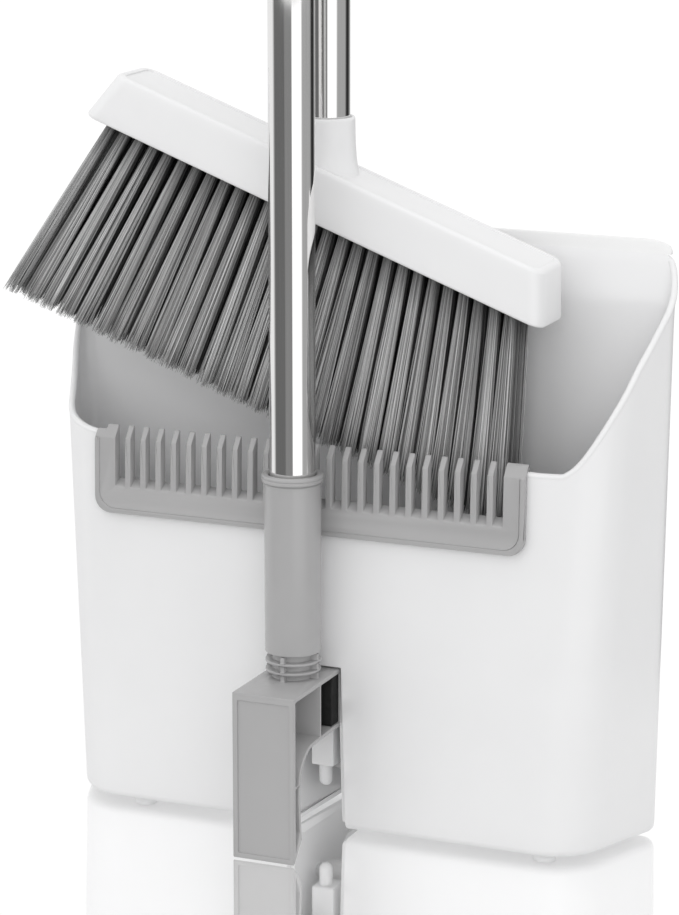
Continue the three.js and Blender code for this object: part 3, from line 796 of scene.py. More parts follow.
    def rim(self, cols: tuple[Array, Array, Array, Array]) -> Array:
        """Height of the rim at each column.

        Flat over the front, climbing round the corners, a straight slope along the flanks, then a soft turn
        up into the level back edge; a short moving average rounds the joins.

        Args:
            cols: The columns' table.

        Returns:
            One height a column.
        """
        kind, sign, t, _ = cols
        bend = self.slope()
        turn = np.degrees(t + np.pi / 2)
        corner = np.interp(
            turn,
            [0, 7.6, 16.7, 25.8, 34.9, 44.7, 55.5, 69.2],
            [self.wall_top, 164.6, 168.3, 173.8, 180.2, 187.0, 194.0, 202.4],
        )
        flank = 203.2 + t * 22.6
        lift = np.clip((t + bend) / (np.pi / 2 + bend), 0, 1)
        top = np.interp(lift, [0.0, 0.5, 0.72, 0.86, 1.0], [225.8, 235.8, 242.0, 245.8, self.hard_top])
        left_corner = np.interp(turn, [0, 15, 30, 45, 60, 69.2], [self.wall_top, 163.6, 165, 166.6, 168.8, 171.2])
        left_flank = np.interp(t, [0.0, 0.55, 1.0], [171.2, 178.8, 186.5])
        left_top = np.interp(lift, [0.0, 0.35, 0.6, 0.85, 1.0], [186.5, 198.0, 216.0, 238.0, self.hard_top])
        corner = np.where(sign < 0, left_corner, corner)
        flank = np.where(sign < 0, left_flank, flank)
        top = np.where(sign < 0, left_top, top)
        height = np.select(
            [kind == k.value for k in Side],
            [np.full(len(t), self.wall_top), corner, flank, top, np.full(len(t), self.hard_top)],
        )
        kernel = np.array([1, 2, 3, 2, 1]) / 9.0
        soft = np.convolve(np.pad(height, 2, mode="wrap"), kernel, mode="valid")
        return np.where(kind == Side.FRONT.value, self.wall_top, soft)

    def shell(self) -> Sheet:
        """The outer skin: wall, floor and pocket in one sheet, open at the rim.

        Rows climb from the floor's edge round the foot's radius to the rim. Quads are left out where the
        pocket and the comb window are, and the pocket's walls and the floor are grids on the same points.

        Returns:
            The sheet.
        """
        cols = self.columns()
        kind, _, _, stretch = cols
        count = len(kind)
        turn = np.linspace(0, np.pi / 2, 6)
        low_z = self.base + self.foot_r * (1 - np.cos(turn))
        low_in = self.foot_r * (1 - np.sin(turn))
        to_pocket = np.linspace(low_z[-1], self.pocket_top, 12)[1:]
        to_window = np.linspace(self.pocket_top, self.window_low, 9)[1:]
        share = np.array([*np.linspace(0, 0.79, 12)[1:], 0.806, 0.818, 0.83, 0.845, 0.87, 0.91, 0.955, 1.0])
        rim = self.rim(cols)
        fixed = np.concatenate([low_z, to_pocket, to_window])
        z = np.vstack([
            np.repeat(fixed[:, None], count, axis=1),
            self.window_low + share[:, None] * (rim - self.window_low)[None],
        ])
        inset = np.zeros_like(z)
        inset[: len(low_in)] = low_in[:, None]
        grid = self.outline(z, inset, cols)
        pocket_row = len(low_z) + len(to_pocket) - 1
        window_row = len(fixed) - 1
        rows = np.arange(len(z) - 1)[:, None]
        in_pocket = (kind == Side.FRONT.value) & (stretch == 2)
        in_window = (kind == Side.FRONT.value) & (stretch >= 1) & (stretch <= 3)
        keep = ~((rows < pocket_row) & in_pocket[None]) & ~((rows >= window_row) & in_window[None])
        wall = sheet_of(grid, wrap=True, keep=keep)

        first = int(np.flatnonzero(in_pocket)[0])
        last = int(np.flatnonzero(in_pocket)[-1]) + 1
        depth = np.linspace(0, 1, 9)[:, None]

        def inwards(edge: Array, x_back: Array) -> Array:
            """Lines from an edge of the wall to the pocket's back.

            Args:
                edge: Points of the wall's edge.
                x_back: X of each line's far end.

            Returns:
                Points, steps by edge points by 3.
            """
            far = edge.copy()
            far[:, 0] = x_back
            far[:, 1] = self.pocket_back
            return edge[None] * (1 - depth[..., None]) + far[None] * depth[..., None]

        left = inwards(grid[: pocket_row + 1, first], np.full(pocket_row + 1, self.pocket_left[1]))
        right = inwards(grid[: pocket_row + 1, last], grid[: pocket_row + 1, last, 0])
        roof_edge = grid[pocket_row, first : last + 1]
        across = np.linspace(0, 1, last - first + 1)
        roof_x = self.pocket_left[1] * (1 - across) + roof_edge[-1, 0] * across
        roof = inwards(roof_edge, roof_x)
        side = np.linspace(0, 1, last - first + 1)[None, :, None]
        end = left[-1][:, None] * (1 - side) + right[-1][:, None] * side
        pocket = sheet_of(left) + sheet_of(right, flip=True) + sheet_of(roof) + sheet_of(end)

        half = count // 2
        near = grid[0, : half + 1].copy()
        far = np.vstack([grid[0, :1], grid[0, half:][::-1]])[: half + 1]
        share_y = (self.pocket_back - grid[0, first, 1]) / (far[first, 1] - grid[0, first, 1])
        middle = near * (1 - share_y) + far * share_y
        middle[first : last + 1] = end[0]
        steps = depth[..., None]
        floor_front = near[None] * (1 - steps) + middle[None] * steps
        floor_back = middle[None] * (1 - steps[::4]) + far[None] * steps[::4]
        skip = np.ones((len(depth) - 1, half), bool)
        skip[:, first:last] = False
        floor = sheet_of(floor_front, keep=skip, flip=True) + sheet_of(floor_back, flip=True)
        return wall + pocket + floor

    def lip(self) -> Sheet:
        """The soft strip: a rounded section carried along the top of the back wall, running out at both ends.

        Over the last stretch of each end the section's height shrinks as a quarter circle.

        Returns:
            The sheet.
        """
        kind, sign, t, stretch = self.columns()
        line = np.flatnonzero((kind == Side.BACK.value) | ((kind == Side.BACK_ARC.value) & (t > 1.3)))
        order = np.concatenate([line[line > len(kind) // 4], line[line <= len(kind) // 4]])
        cols = (kind[order], sign[order], t[order], stretch[order])
        low, top = self.lip_low, self.lip_top
        section = np.array(rounded([
            (0.15, low, 0), (0.2, top - 2.5, 1), (0.55, top, 0.7), (1.75, top, 0.7), (2.0, top - 2.5, 1),
            (2.1, low, 0),
        ], 5))
        ends = np.linspace(0, 1, len(order))
        reach = np.minimum(ends, 1 - ends) / self.lip_run_out
        grow = np.sqrt(np.clip(1 - (1 - np.clip(reach, 0.02, 1)) ** 2, 0.0, 1))
        inset = section[:, :1] + 0 * ends
        z = low + (section[:, 1:] - low) * grow
        grid = self.outline(z, inset, cols)
        ring = np.vstack([grid, grid[:1]])
        centre = ring[:-1].mean(axis=0)
        head, tail = ring.copy()[:, :1], ring.copy()[:, -1:]
        head[:], tail[:] = centre[0], centre[-1]
        return sheet_of(np.concatenate([head, ring, tail], axis=1), flip=True)

    def bead(self, side: int) -> Sheet:
        """The rounded roll along the rim, from the comb window round one corner to the back wall.

        A circle of radius bead_r is carried along the rim's middle line; its points are centre + r (cos b out +
        sin b up), where out is level and square to the line. Both ends close to a point.

        Args:
            side: 1 for the right, -1 for the left.

        Returns:
            The sheet.
        """
        cols = self.columns()
        kind, sign, _, stretch = cols
        rim = self.rim(cols)
        on_front = (kind == Side.FRONT.value) & (stretch == (4 if side > 0 else 0))
        on_side = (kind != Side.FRONT.value) & (kind != Side.BACK.value) & (sign == side)
        line = np.flatnonzero(on_front | on_side)
        if side < 0:
            line = np.concatenate([line[line > len(kind) // 2], line[line <= len(kind) // 2]])
        picked = tuple(c[line] for c in cols)
        z = (rim[line] - self.bead_r * 0.72)[None]
        path = self.outline(z, np.full_like(z, self.thick / 2), picked)[0]
        ahead = np.gradient(path, axis=0)
        out = np.stack([ahead[:, 1], -ahead[:, 0], 0 * ahead[:, 0]], axis=-1)
        out /= np.linalg.norm(out, axis=1, keepdims=True)
        up = np.cross(out, ahead / np.linalg.norm(ahead, axis=1, keepdims=True))
        b = np.linspace(0, 2 * np.pi, self.bead_sides, endpoint=False)[:, None, None]
        tube = path[None] + self.bead_r * (np.cos(b) * out[None] + np.sin(b) * up[None])
        first = np.broadcast_to(path[:1], (self.bead_sides, 1, 3))
        last = np.broadcast_to(path[-1:], (self.bead_sides, 1, 3))
        ring = np.concatenate([first, tube, last], axis=1)
        return sheet_of(np.concatenate([ring, ring[:1]], axis=0), flip=True)

    def studs(self) -> Sheet:
        """Four short studs under the pan, each a lathe.

        Returns:
            All four in one sheet.
        """
        profile = rounded([(0, 0.0, 0), (4.6, 0.0, 0.6), (5.0, 2.3, 0), (0, 2.3, 0)], 4)
        first, *others = [turned(profile, self.mid + x, y, 40) for x, y in self.stud_places]
        return sum(others, first)

    def build(self) -> None:
        """Makes and dresses the pan's pieces."""
        shell = to_object("pan_scoop", self.shell())
        dress(shell, Finish.WHITE, Body.PAN, ["pan_shell"], Edge(0.8, 3, 42.0, self.thick))
        for side, name in ((1, "pan_rim_right"), (-1, "pan_rim_left")):
            dress(to_object(name, self.bead(side)), Finish.WHITE, Body.PAN, ["pan_shell"], Edge(smooth=80))
        dress(to_object("pan_studs", self.studs()), Finish.WHITE, Body.PAN, ["pan_shell"], Edge())
        dress(to_object("pan_soft_lip", self.lip()), Finish.LIP, Body.PAN, ["pan_lip"], Edge(smooth=60))
        finer("comb_rack", "bristle_comb", Finish.GREY, Body.PAN, Edge(0.45, 2, 25.0))
        finer("hinge_axle", "hinge_pin", Finish.STEEL, Body.PAN, Edge(0.3, 2))
        finer("axle_cap", "hinge_pin_cap", Finish.WHITE, Body.PAN, Edge(0.5, 3))


# --------------------------------------------------------------------------- handles
@dataclass
class Handle:
    """One handle: tubes end to end with a collar at each joint, a grip and a hanging cap.

    Attributes:
        prefix: Start of every piece's name.
        x: Where the axis stands.
        y: Where the axis stands.
        body: The body it rides on.
        tubes: CAD tubes from the bottom up.
        collars: CAD collars from the bottom up.
        grip: CAD grip.
        cap: CAD hanging cap.
        radius: Tube radius.
        bore: Tube's inner radius.
        waist: Radius of the grip's waist.
        groove_pitch: Distance from groove to groove on the grip.
        groove_depth: Depth of a groove.
    """

    prefix: str
    x: float
    y: float
    body: Body
    tubes: tuple[str, ...]
    collars: tuple[str, ...]
    grip: str
    cap: str
    radius: float = 9.5
    bore: float = 8.6
    waist: float = 11.45
    groove_pitch: float = 4.6
    groove_depth: float = 0.45

    def heights(self, node: str) -> tuple[float, float]:
        """A CAD node's lowest and highest Z in millimetres."""
        lo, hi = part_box(node)
        return lo.z / MM, hi.z / MM

    def build(self) -> None:
        """Makes and dresses the handle's pieces."""
        for node in self.tubes:
            low, high = self.heights(node)
            ring = rounded([
                (self.bore, low + 3, 0), (self.bore, low, 0.3), (self.radius, low, 0.4), (self.radius, high, 0.4),
                (self.bore, high, 0.3), (self.bore, high - 3, 0),
            ], 4)
            dress(to_object(node + "_bright", turned(ring, self.x, self.y)), Finish.CHROME, self.body, [node], Edge())
        for node in self.collars:
            low, high = self.heights(node)
            mid = (low + high) / 2
            ring = rounded([
                (9.8, low + 2, 0), (9.8, low, 0.2), (10.2, low, 0.2), (10.6, low + 0.9, 0.4), (10.6, mid - 1.2, 0.2),
                (10.25, mid - 0.8, 0.2), (10.25, mid + 0.8, 0.2), (10.6, mid + 1.2, 0.2), (10.6, high - 0.9, 0.4),
                (10.2, high, 0.2), (9.8, high, 0.2), (9.8, high - 2, 0),
            ], 3)
            dress(to_object(node + "_ring", turned(ring, self.x, self.y)), Finish.GREY, self.body, [node], Edge())
        self.build_grip()
        finer(self.cap, self.prefix + "_hanger", Finish.GREY, self.body, Edge(0.6, 3, 30.0), clamp=True)

    def build_grip(self) -> None:
        """Makes the grip: a swelling sleeve whose waist carries shallow round grooves.

        The groove's depth is the positive half of a sine over the height, raised to a power below one.
        """
        low, high = self.heights(self.grip)
        z = np.linspace(low + 16, high - 20, 380)
        wave = np.sin((z - z[0]) / self.groove_pitch * 2 * np.pi)
        waist = self.waist - self.groove_depth * np.clip(wave, 0, 1) ** 0.7
        outside = [
            (9.76, low + 1.2), (10.3, low + 0.15), (11.2, low), (12.0, low + 0.7), (12.35, low + 2), (12.4, low + 8),
            (12.0, low + 11), (11.55, low + 14.5),
        ]
        top = [
            (11.6, high - 18), (12.1, high - 13), (12.5, high - 8), (12.6, high - 2), (12.3, high - 0.5),
            (11.6, high), (10.2, high), (9.76, high - 1.0),
        ]
        profile = [*outside, *zip(waist, z), *top]
        piece = to_object(self.prefix + "_soft_grip", turned(profile, self.x, self.y, 72))
        dress(piece, Finish.GRIP, self.body, [self.grip], Edge(smooth=50))


@dataclass
class HingeFoot:
    """The bracket at the foot of the pan's handle with the sleeve that stands on it.

    Attributes:
        radius: The sleeve's outer radius.
        flange: Radius of the flange on its top.
        bore: Radius of the hole that the tube stands in.
    """

    radius: float = 11.8
    flange: float = 12.9
    bore: float = 9.75

    def sleeve(self) -> Sheet:
        """The sleeve: a plain column under a groove and a double-beaded flange, hollow for the tube.

        Returns:
            The sheet.
        """
        lo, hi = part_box("pole_sleeve")
        low, top = lo.z / MM, hi.z / MM
        r, wide, bore = self.radius, self.flange, self.bore
        groove = r - 0.45
        f = top - 3.2
        return turned(rounded([
            (bore, low + 12, 0), (bore, low + 2, 0.2), (8.6, low + 2, 0.1), (8.6, low, 0.3), (r - 0.2, low, 0.5),
            (r, f - 1.0, 0.5), (groove, f - 0.5, 0.15), (groove, f - 0.05, 0.1), (wide - 0.15, f, 0.5),
            (wide, f + 1.2, 0.5), (wide - 0.45, f + 1.55, 0.2), (wide, f + 1.9, 0.5), (wide - 0.3, top, 0.9),
            (10.6, top, 0.5), (bore, top - 0.7, 0.3), (bore, top - 8, 0),
        ], 5))

    def build(self) -> None:
        """Makes and dresses the foot's pieces."""
        dress(to_object("handle_sleeve", self.sleeve()), Finish.GREY, Body.POLE, ["pole_sleeve"], Edge(smooth=40))
        finer("hinge_bracket", "hinge_foot", Finish.GREY, Body.POLE, Edge(0.42, 2, 28.0))
        # Near-black block set in the hinge foot as painted shade of its deep hollow.
        finer("hinge_buffer", "foot_hollow_shade", Finish.BUFFER, Body.POLE, Edge(0.4, 2))
        finer("latch_block", "stop_block", Finish.WHITE, Body.POLE, Edge(0.5, 3))
        finer("latch_pin", "stop_pin", Finish.WHITE, Body.POLE, Edge(smooth=60))
        finer("pole_clip", "broom_clip", Finish.GREY, Body.POLE, Edge(0.6, 3, 30.0))
        finer("clip_screw", "clip_screw_head", Finish.STEEL, Body.POLE, Edge(0.35, 2, 30.0))


# --------------------------------------------------------------------------- broom
@dataclass
class Broom:
    """The broom's angled head with its socket and bristles.

    Along is the distance from the handle along the head's underside, up is square to it; tilted() turns them
    to X and Z with the right end down.

    Attributes:
        y: Y of the head's middle plane.
        tilt: Angle of the underside to the level, in radians.
        low: Height of the underside at the handle.
        half_low: Half the head's length at the underside.
        half_top: Half its length at the top.
        left_more: How much longer the left half is.
        high: The head's height.
        deep: The head's depth.
        corner: Radius of its corners.
        edge: Radius of its top edge.
        foot_edge: Radius of its lower edge.
        arc_points: Points round each corner.
        tufts: Tufts in a row.
        tuft_rows: Rows of tufts.
        filaments: Filaments in a tuft.
        roots: Where the first and the last tuft leave the bed.
        tips: Where their tips end.
        bed_half: Half the bed's depth between the outer rows.
        filament: Length of an uncut filament.
        tip_reach: Furthest that a tip goes along the head and across it.
        thickness: Half a filament's diagonal at each of its five rings.
    """

    y: float = 36.0
    tilt: float = math.radians(20.4)
    low: float = 257.5
    half_low: float = 105.8
    half_top: float = 97.3
    left_more: float = 6.5
    high: float = 22.4
    deep: float = 30.0
    corner: float = 6.5
    edge: float = 1.8
    foot_edge: float = 1.6
    arc_points: int = 9
    tufts: int = 28
    tuft_rows: int = 6
    filaments: int = 78
    roots: tuple[float, float] = (-100.4, 89.3)
    tips: tuple[float, float] = (-120.8, 115.0)
    bed_half: float = 8.2
    filament: float = 87.9
    tip_reach: tuple[float, float] = (124.2, 11.0)
    thickness: tuple[float, ...] = (0.25, 0.26, 0.25, 0.21, 0.07)

    def tilted(self, along: Array, y: Array, up: Array) -> Array:
        """Turns the head's own directions to X, Y, Z.

        Args:
            along: Distance along the underside, to the right.
            y: Distance behind the head's middle plane.
            up: Height above the underside.

        Returns:
            Points, with the three coordinates on the last axis.
        """
        x = along * math.cos(self.tilt) + up * math.sin(self.tilt)
        z = self.low - along * math.sin(self.tilt) + up * math.cos(self.tilt)
        return np.stack([x, self.y + y + 0 * x, z], axis=-1)

    def block(self) -> Sheet:
        """The head: a rounded rectangle carried up with its long side shrinking, and a recess for the bed.

        The plan loop runs once round; the stack's insets follow quarter circles at the top and the lower edge,
        and both of its ends close across the loop.

        Returns:
            The sheet.
        """
        n = self.arc_points
        quarter = np.linspace(0, np.pi / 2, n)
        corners = [
            (1, -1, -quarter[::-1]), (1, 1, quarter), (-1, 1, np.pi - quarter[::-1]), (-1, -1, np.pi + quarter),
        ]
        sx = np.concatenate([np.full(n, c[0]) for c in corners])
        sy = np.concatenate([np.full(n, c[1]) for c in corners])
        angle = np.concatenate([c[2] for c in corners])
        turn = np.linspace(0, np.pi / 2, 6)
        stack = [(3.3, 3.4), (0.4, 3.4), (0.0, 3.0)]
        foot, edge = self.foot_edge, self.edge
        stack += [(foot * (1 - math.cos(a)), foot * (1 - math.sin(a))) for a in turn]
        stack += [(up, 0.0) for up in np.linspace(foot, self.high - edge, 6)[1:]]
        stack += [(self.high - edge + edge * math.sin(a), edge * (1 - math.cos(a))) for a in turn[1:]]
        stack += [(self.high, 2.9), (self.high - 0.12, 3.1), (self.high - 0.55, 3.3), (self.high - 0.6, 3.8)]
        up, inset = (np.array(v)[:, None] for v in zip(*stack))
        half = self.half_low + (self.half_top - self.half_low) * up / self.high
        reach = np.maximum(self.corner - inset, 0.8)
        half = half + np.where(sx < 0, self.left_more, 0.0)
        along = sx * (half - inset - reach) + reach * np.cos(angle)
        across = sy * (self.deep / 2 - inset - reach) + reach * np.sin(angle)
        rings = self.tilted(along, across, up + 0 * along)
        body = sheet_of(rings, wrap=True)

        def lid(ring: Array, flip: bool) -> Sheet:
            """Strips from the ring's front half to its back half.

            Args:
                ring: The stack's first or last loop.
                flip: Whether the faces point the other way.

            Returns:
                The sheet that closes the loop.
            """
            front = np.concatenate([ring[3 * n :], ring[:n]])
            back = ring[n : 3 * n][::-1]
            return sheet_of(np.stack([front, back]), flip=flip)

        return body + lid(rings[0], True) + lid(rings[-1], False)

    def socket(self) -> Sheet:
        """The socket: an upright lathe whose foot flares into the head.

        Returns:
            The sheet.
        """
        lo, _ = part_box("broom_tube_lower")
        floor, top = lo.z / MM - 0.3, 300.0
        profile = rounded([
            (0, floor, 0), (9.75, floor, 0.3), (9.75, top - 0.8, 0.5), (10.4, top, 0.4), (11.3, top, 0.5),
            (11.55, top - 1.0, 0.6), (11.7, 289, 5), (12.4, 280, 4), (14.2, 272, 3), (14.2, 268, 0), (0, 268, 0),
        ], 7)
        return turned(profile[::-1], 0.0, self.y)

    def bristles(self, row_first: int, row_last: int) -> tuple[Sheet, Array]:
        """Filaments of some rows of tufts, each a tapered square rod with a slight bow.

        A filament runs from its root in the bed to its tip; along the way, at fraction u, it is at
        root (1 - u) + tip u plus a bow of u (1 - u), and its four corners stand half a thickness off that line.
        Tips that would meet the pan's left rim are shortened above it.

        Args:
            row_first: First row of tufts, counted from the front.
            row_last: Row after the last.

        Returns:
            The sheet and a tone for each of its points, with painted shade and painted light multiplied in.
        """
        rng = np.random.default_rng(SEED + row_first)
        c, r, _ = np.meshgrid(
            np.arange(self.tufts), np.arange(row_first, row_last), np.arange(self.filaments), indexing="ij"
        )
        shape = c.shape
        share = c / (self.tufts - 1)
        centre = self.roots[0] + (self.roots[1] - self.roots[0]) * share
        tip_centre = self.tips[0] + (self.tips[1] - self.tips[0]) * share
        depth = (r / (self.tuft_rows - 1) * 2 - 1) * self.bed_half
        spin = rng.uniform(0, 2 * np.pi, shape)
        disc = np.sqrt(rng.uniform(0, 1, shape))
        wander = rng.normal(0, 0.35, shape[:2])[..., None]
        root_a = centre + 2.0 * disc * np.cos(spin)
        root_y = depth + 1.4 * disc * np.sin(spin)
        tip_a = tip_centre + 4.1 * disc * np.cos(spin) + wander + rng.normal(0, 0.3, shape)
        tip_y = depth * 1.12 + 1.7 * disc * np.sin(spin) + rng.normal(0, 0.35, shape)
        furthest, deepest = self.tip_reach
        tip_a = np.clip(tip_a, -furthest, furthest)
        tip_y = np.clip(tip_y, -deepest, deepest)
        length = self.filament - np.abs(rng.normal(0, 2.0, shape)) - 0.5 * disc**2
        tip = self.tilted(tip_a, tip_y, -length)
        guard = 190.0 + 1.225 * (tip[..., 1] - 20.0) + 1.0
        over = np.where(tip[..., 0] < -104.0, np.maximum(guard - tip[..., 2], 0.0), 0.0)
        length = length - over / math.cos(self.tilt)
        tip_a = root_a + (tip_a - root_a) * (length / 88.0)
        u = np.array([0.0, 0.2, 0.55, 0.85, 1.0])
        width = np.array(self.thickness)
        bow = rng.normal(0, 0.22, shape)[..., None] * 4 * u * (1 - u)
        bow_y = rng.normal(0, 0.25, shape)[..., None] * 4 * u * (1 - u)
        along = root_a[..., None] + (tip_a - root_a)[..., None] * u + bow
        across = root_y[..., None] + (tip_y - root_y)[..., None] * u + bow_y
        up = -length[..., None] * u + 0.2
        twist = rng.uniform(0, np.pi / 2, shape)[..., None, None]
        around = twist + np.arange(4) * np.pi / 2
        ring_a = along[..., None] + width[:, None] * np.cos(around)
        ring_y = across[..., None] + width[:, None] * np.sin(around)
        points = self.tilted(ring_a, ring_y, up[..., None] + 0 * ring_a)
        rods = points.reshape(-1, len(u) * 4, 3)
        one = np.vstack([quads_of(len(u), 4, wrap=True)[:, ::-1], [[0, 1, 2, 3]], [[19, 18, 17, 16]]])
        quads = (one[None] + np.arange(len(rods))[:, None, None] * len(u) * 4).reshape(-1, 4)
        # Painted shade between tufts: rows inside the head are made far darker than the two outer rows, and the end
        # tufts are kept light.
        edge_on = np.minimum(r, self.tuft_rows - 1 - r)
        outer = np.select([edge_on == 0, edge_on == 1], [1.0, 0.25], 0.04)
        outer = np.where((c == 0) | (c == self.tufts - 1), np.maximum(outer, 0.7), outer)
        # Painted light and shade across each tuft: filaments on its outer side are lighter, those on its inner side
        # darker.
        painted_side_light = np.where(r < self.tuft_rows / 2, -1.0, 1.0) * np.sin(spin) * disc
        tone = (0.25 + 0.75 * rng.beta(1.7, 1.5, shape)) * outer * (0.72 + 0.28 * painted_side_light)
        # Painted shade along each filament: darkest at the root next to the bed.
        shadow = np.array([0.25, 0.85, 1.0, 0.95, 0.85])
        tone = np.clip(tone[..., None, None] * shadow[:, None] * np.ones(4), 0, 1)
        return Sheet(rods.reshape(-1, 3), quads), tone.ravel()

    def build(self) -> None:
        """Makes and dresses the broom head's pieces."""
        dress(to_object("broom_block", self.block()), Finish.WHITE, Body.BROOM, ["broom_head"], Edge(smooth=50))
        dress(to_object("broom_socket", self.socket()), Finish.WHITE, Body.BROOM, ["broom_head"], Edge(smooth=50))
        finer("bristle_plate", "bristle_bed_strip", Finish.BED, Body.BROOM, Edge(0.3, 1))
        for part, (first, last) in enumerate(((0, 2), (2, 4), (4, 6))):
            sheet, tone = self.bristles(first, last)
            piece = to_object(f"bristles_{'abc'[part]}", sheet, merge=False)
            layer = piece.data.attributes.new("tone", "FLOAT", "POINT")
            layer.data.foreach_set("value", tone.astype(np.float32))
            dress(piece, Finish.BRISTLE, Body.BROOM, ["broom_bristles"], Edge(smooth=50))


# --------------------------------------------------------------------------- studio
@dataclass(frozen=True)
class Card:
    """One card of the ring round the set, which only reflections see.

    Attributes:
        first: Compass angle in degrees where it starts, counted to the right from straight ahead.
        last: Where it ends.
        glow: Its brightness.
    """

    first: float
    last: float
    glow: float


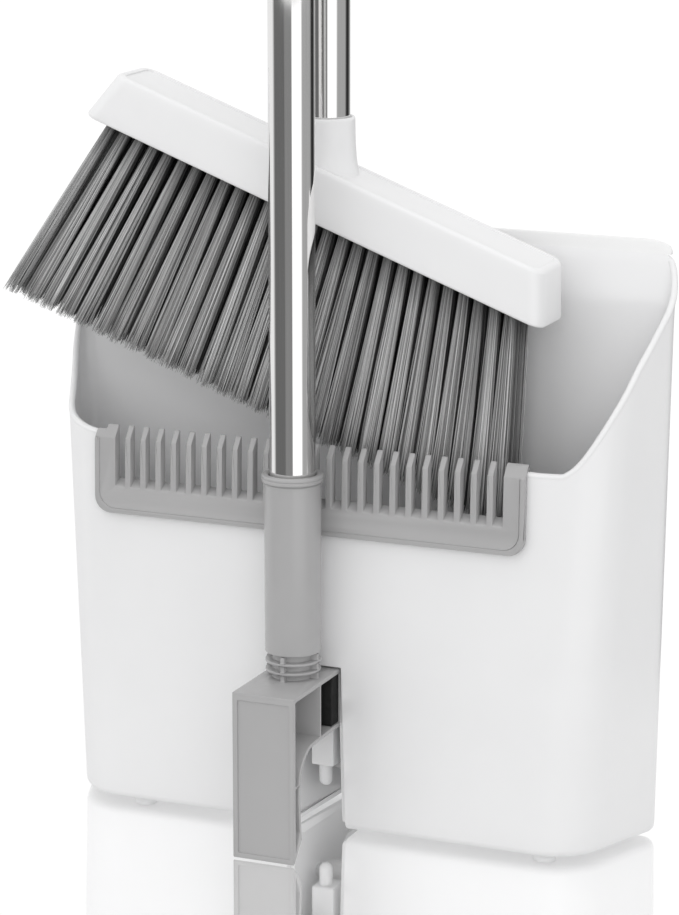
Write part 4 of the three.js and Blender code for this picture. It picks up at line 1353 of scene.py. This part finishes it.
@dataclass
class Studio:
    """Camera, lights, floor and the ring of reflection cards.

    Attributes:
        azimuth: Degrees the camera stands to the right of straight ahead.
        elevation: Degrees the camera looks down.
        eye: Camera position about the handle's axis, in millimetres.
        lens: Focal length for a 36 mm sensor along the image's long side.
        ring_radius: Inner radius of the reflection wedges in metres.
        glow: Brightness of the surroundings.
        floor_half: Half the side of the floor and outer radius of the ring, in millimetres.
        cards: The ring's cards in order: white sheet, dark flag, grey sheet, strip light, grey sheet, black flag.
    """

    azimuth: float = 23.2
    elevation: float = 13.5
    eye: tuple[float, float, float] = (566.01, -1271.83, 498.34)
    lens: float = 137.705
    ring_radius: float = 0.35
    glow: float = 0.9
    floor_half: float = 9000.0
    cards: tuple[Card, ...] = (
        Card(-160, -80, 0.9), Card(-65, -12, 0.15), Card(-8, 24, 0.25), Card(27, 70, 1.25), Card(78, 124, 0.4),
        Card(137, 155, 0.03),
    )

    def camera(self) -> None:
        """Stands the camera and makes it the scene's own."""
        data = bpy.data.cameras.new("camera")
        data.sensor_width = 36.0
        data.lens = self.lens
        data.clip_start = 0.05
        data.clip_end = 60.0
        cam = bpy.data.objects.new("camera", data)
        bpy.context.scene.collection.objects.link(cam)
        a, e = math.radians(self.azimuth), math.radians(self.elevation)
        ahead = Vector((-math.sin(a) * math.cos(e), math.cos(a) * math.cos(e), -math.sin(e)))
        cam.location = Vector(np.array(self.eye) * MM + AXIS)
        cam.rotation_euler = ahead.to_track_quat("-Z", "Y").to_euler()
        bpy.context.scene.camera = cam

    def world(self) -> None:
        """Even white light from all round and a plain view of colour."""
        world = bpy.data.worlds.new("studio")
        bpy.context.scene.world = world
        world.use_nodes = True
        tree = world.node_tree
        back = tree.nodes["Background"]
        back.inputs["Color"].default_value = (1, 1, 1, 1)
        rays = tree.nodes.new("ShaderNodeLightPath")
        level = tree.nodes.new("ShaderNodeMapRange")
        level.inputs["To Min"].default_value = self.glow
        level.inputs["To Max"].default_value = 1.0
        tree.links.new(rays.outputs["Is Camera Ray"], level.inputs["Value"])
        tree.links.new(level.outputs["Result"], back.inputs["Strength"])
        bpy.context.scene.view_settings.view_transform = "Standard"
        bpy.context.scene.view_settings.look = "None"

    def panel(self, name: str, place: Sequence[float], target: Sequence[float], size: float, watts: float) -> None:
        """A square soft light.

        Args:
            name: Its name.
            place: Where it stands, in metres about the handle.
            target: What it points at.
            size: Side in metres.
            watts: Power.
        """
        data = bpy.data.lights.new(name, "AREA")
        data.size = size
        data.energy = watts
        light = bpy.data.objects.new(name, data)
        light.location = Vector(np.array(place) + AXIS)
        aim = Vector(np.array(target) + AXIS) - light.location
        light.rotation_euler = aim.to_track_quat("-Z", "Y").to_euler()
        light.visible_glossy = False
        bpy.context.scene.collection.objects.link(light)

    def floor(self) -> None:
        """A wide white glossy floor that glows just enough to stay white."""
        nodes = Nodes("white_floor")
        nodes.shader.inputs["Base Color"].default_value = (0.93, 0.93, 0.93, 1)
        nodes.shader.inputs["Metallic"].default_value = 1.0
        nodes.shader.inputs["Roughness"].default_value = 0.05
        nodes.shader.inputs["Emission Color"].default_value = (1, 1, 1, 1)
        nodes.shader.inputs["Emission Strength"].default_value = 0.18
        line = np.linspace(-self.floor_half, self.floor_half, 9)
        x, y = np.meshgrid(line, line)
        grid = np.stack([x, y, 0 * x - 0.4], axis=-1)
        floor = to_object("floor", sheet_of(grid))
        floor.data.materials.append(nodes.material)
        floor.visible_glossy = False

    def ring_stops(self) -> list[tuple[float, tuple[float, float, float]]]:
        """The ring's brightness round the compass: level on each card, blended in the gap to the next.

        Returns:
            Positions from 0 at -180 degrees to 1 at 180 degrees, with a grey each.
        """
        first, last = self.cards[0], self.cards[-1]
        gap = 360 + first.first - last.last
        behind = last.glow + (first.glow - last.glow) * (180 - last.last) / gap
        marks = [(angle, card.glow) for card in self.cards for angle in (card.first, card.last)]
        marks = [(-180, behind), *marks, (180, behind)]
        return [((angle + 180) / 360, (glow, glow, glow)) for angle, glow in marks]

    def ring(self) -> None:
        """A flat ring of cards that only reflections see, so that the tubes read as metal."""
        nodes = Nodes("reflection_cards")
        nodes.tree.nodes.remove(nodes.shader)
        output = next(n for n in nodes.tree.nodes if n.type == "OUTPUT_MATERIAL")
        coords = nodes.add("ShaderNodeTexCoord")
        split = nodes.add("ShaderNodeSeparateXYZ")
        nodes.link(coords.outputs["Object"], split.inputs[0])
        x = nodes.add("ShaderNodeMath", operation="SUBTRACT")
        x.inputs[1].default_value = float(AXIS[0])
        nodes.link(split.outputs["X"], x.inputs[0])
        y = nodes.add("ShaderNodeMath", operation="SUBTRACT")
        y.inputs[0].default_value = float(AXIS[1])
        nodes.link(split.outputs["Y"], y.inputs[1])
        angle = nodes.add("ShaderNodeMath", operation="ARCTAN2")
        nodes.link(x.outputs[0], angle.inputs[0])
        nodes.link(y.outputs[0], angle.inputs[1])
        share = nodes.add("ShaderNodeMapRange")
        for socket, number in zip(share.inputs[1:5], (-math.pi, math.pi, 0.0, 1.0)):
            socket.default_value = number
        nodes.link(angle.outputs[0], share.inputs[0])
        colour = nodes.tones(share.outputs[0], self.ring_stops())
        glow = nodes.add("ShaderNodeEmission")
        nodes.link(colour, glow.inputs["Color"])
        nodes.link(glow.outputs[0], output.inputs["Surface"])
        a = np.linspace(0, 2 * np.pi, 96, endpoint=False)
        r = np.array([[self.ring_radius / MM], [3000.0], [self.floor_half]])
        grid = np.stack([r * np.cos(a), r * np.sin(a), 0 * r * a - 1.2], axis=-1)
        ring = to_object("reflection_ring", sheet_of(grid, wrap=True, flip=True))
        ring.data.materials.append(nodes.material)
        ring.visible_camera = False
        ring.visible_diffuse = False
        ring.visible_shadow = False
        ring.visible_transmission = False

    def build(self) -> None:
        """Sets the studio up."""
        self.camera()
        self.world()
        self.floor()
        self.ring()
        self.panel("key", (-0.9, -1.6, 1.6), (0, 0, 0.15), 1.6, 4.5)
        self.panel("top", (0.15, -0.5, 1.9), (0, 0.03, 0.2), 1.2, 4.0)
        self.panel("fill", (0.8, -1.6, 0.8), (0, 0, 0.15), 1.2, 4.0)


def finish_frame_nodes() -> None:
    """Gives every CAD node that is still shown the finish of its slot."""
    slots = {f.value.slot: f for f in Finish}
    named = {row["node"]: row["material_slot"] for row in frame["record"]["subparts"]}
    for name, obj in frame["nodes"].items():
        if obj.hide_render or named.get(name) not in slots:
            continue
        obj.data.materials.clear()
        obj.data.materials.append(PAINT.get(slots[named[name]]))
        LOG.info("%s keeps its CAD shape", name)


def main() -> None:
    """Builds the set and its studio in order."""
    logging.basicConfig(level=logging.INFO, format="%(message)s")
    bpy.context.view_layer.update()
    Pan().build()
    HingeFoot().build()
    Handle(
        "pan_handle", 0.0, 0.0, Body.POLE, ("pan_tube_lower", "pan_tube_upper"), ("pan_tube_collar",),
        "pan_grip", "pan_hang_cap",
    ).build()
    Handle(
        "broom_handle", 0.0, 36.0, Body.BROOM, ("broom_tube_lower", "broom_tube_middle", "broom_tube_upper"),
        ("broom_tube_a_collar", "broom_tube_b_collar"), "broom_grip", "broom_hang_cap",
    ).build()
    Broom().build()
    finish_frame_nodes()
    Studio().build()


if __name__ == "__main__":
    main()
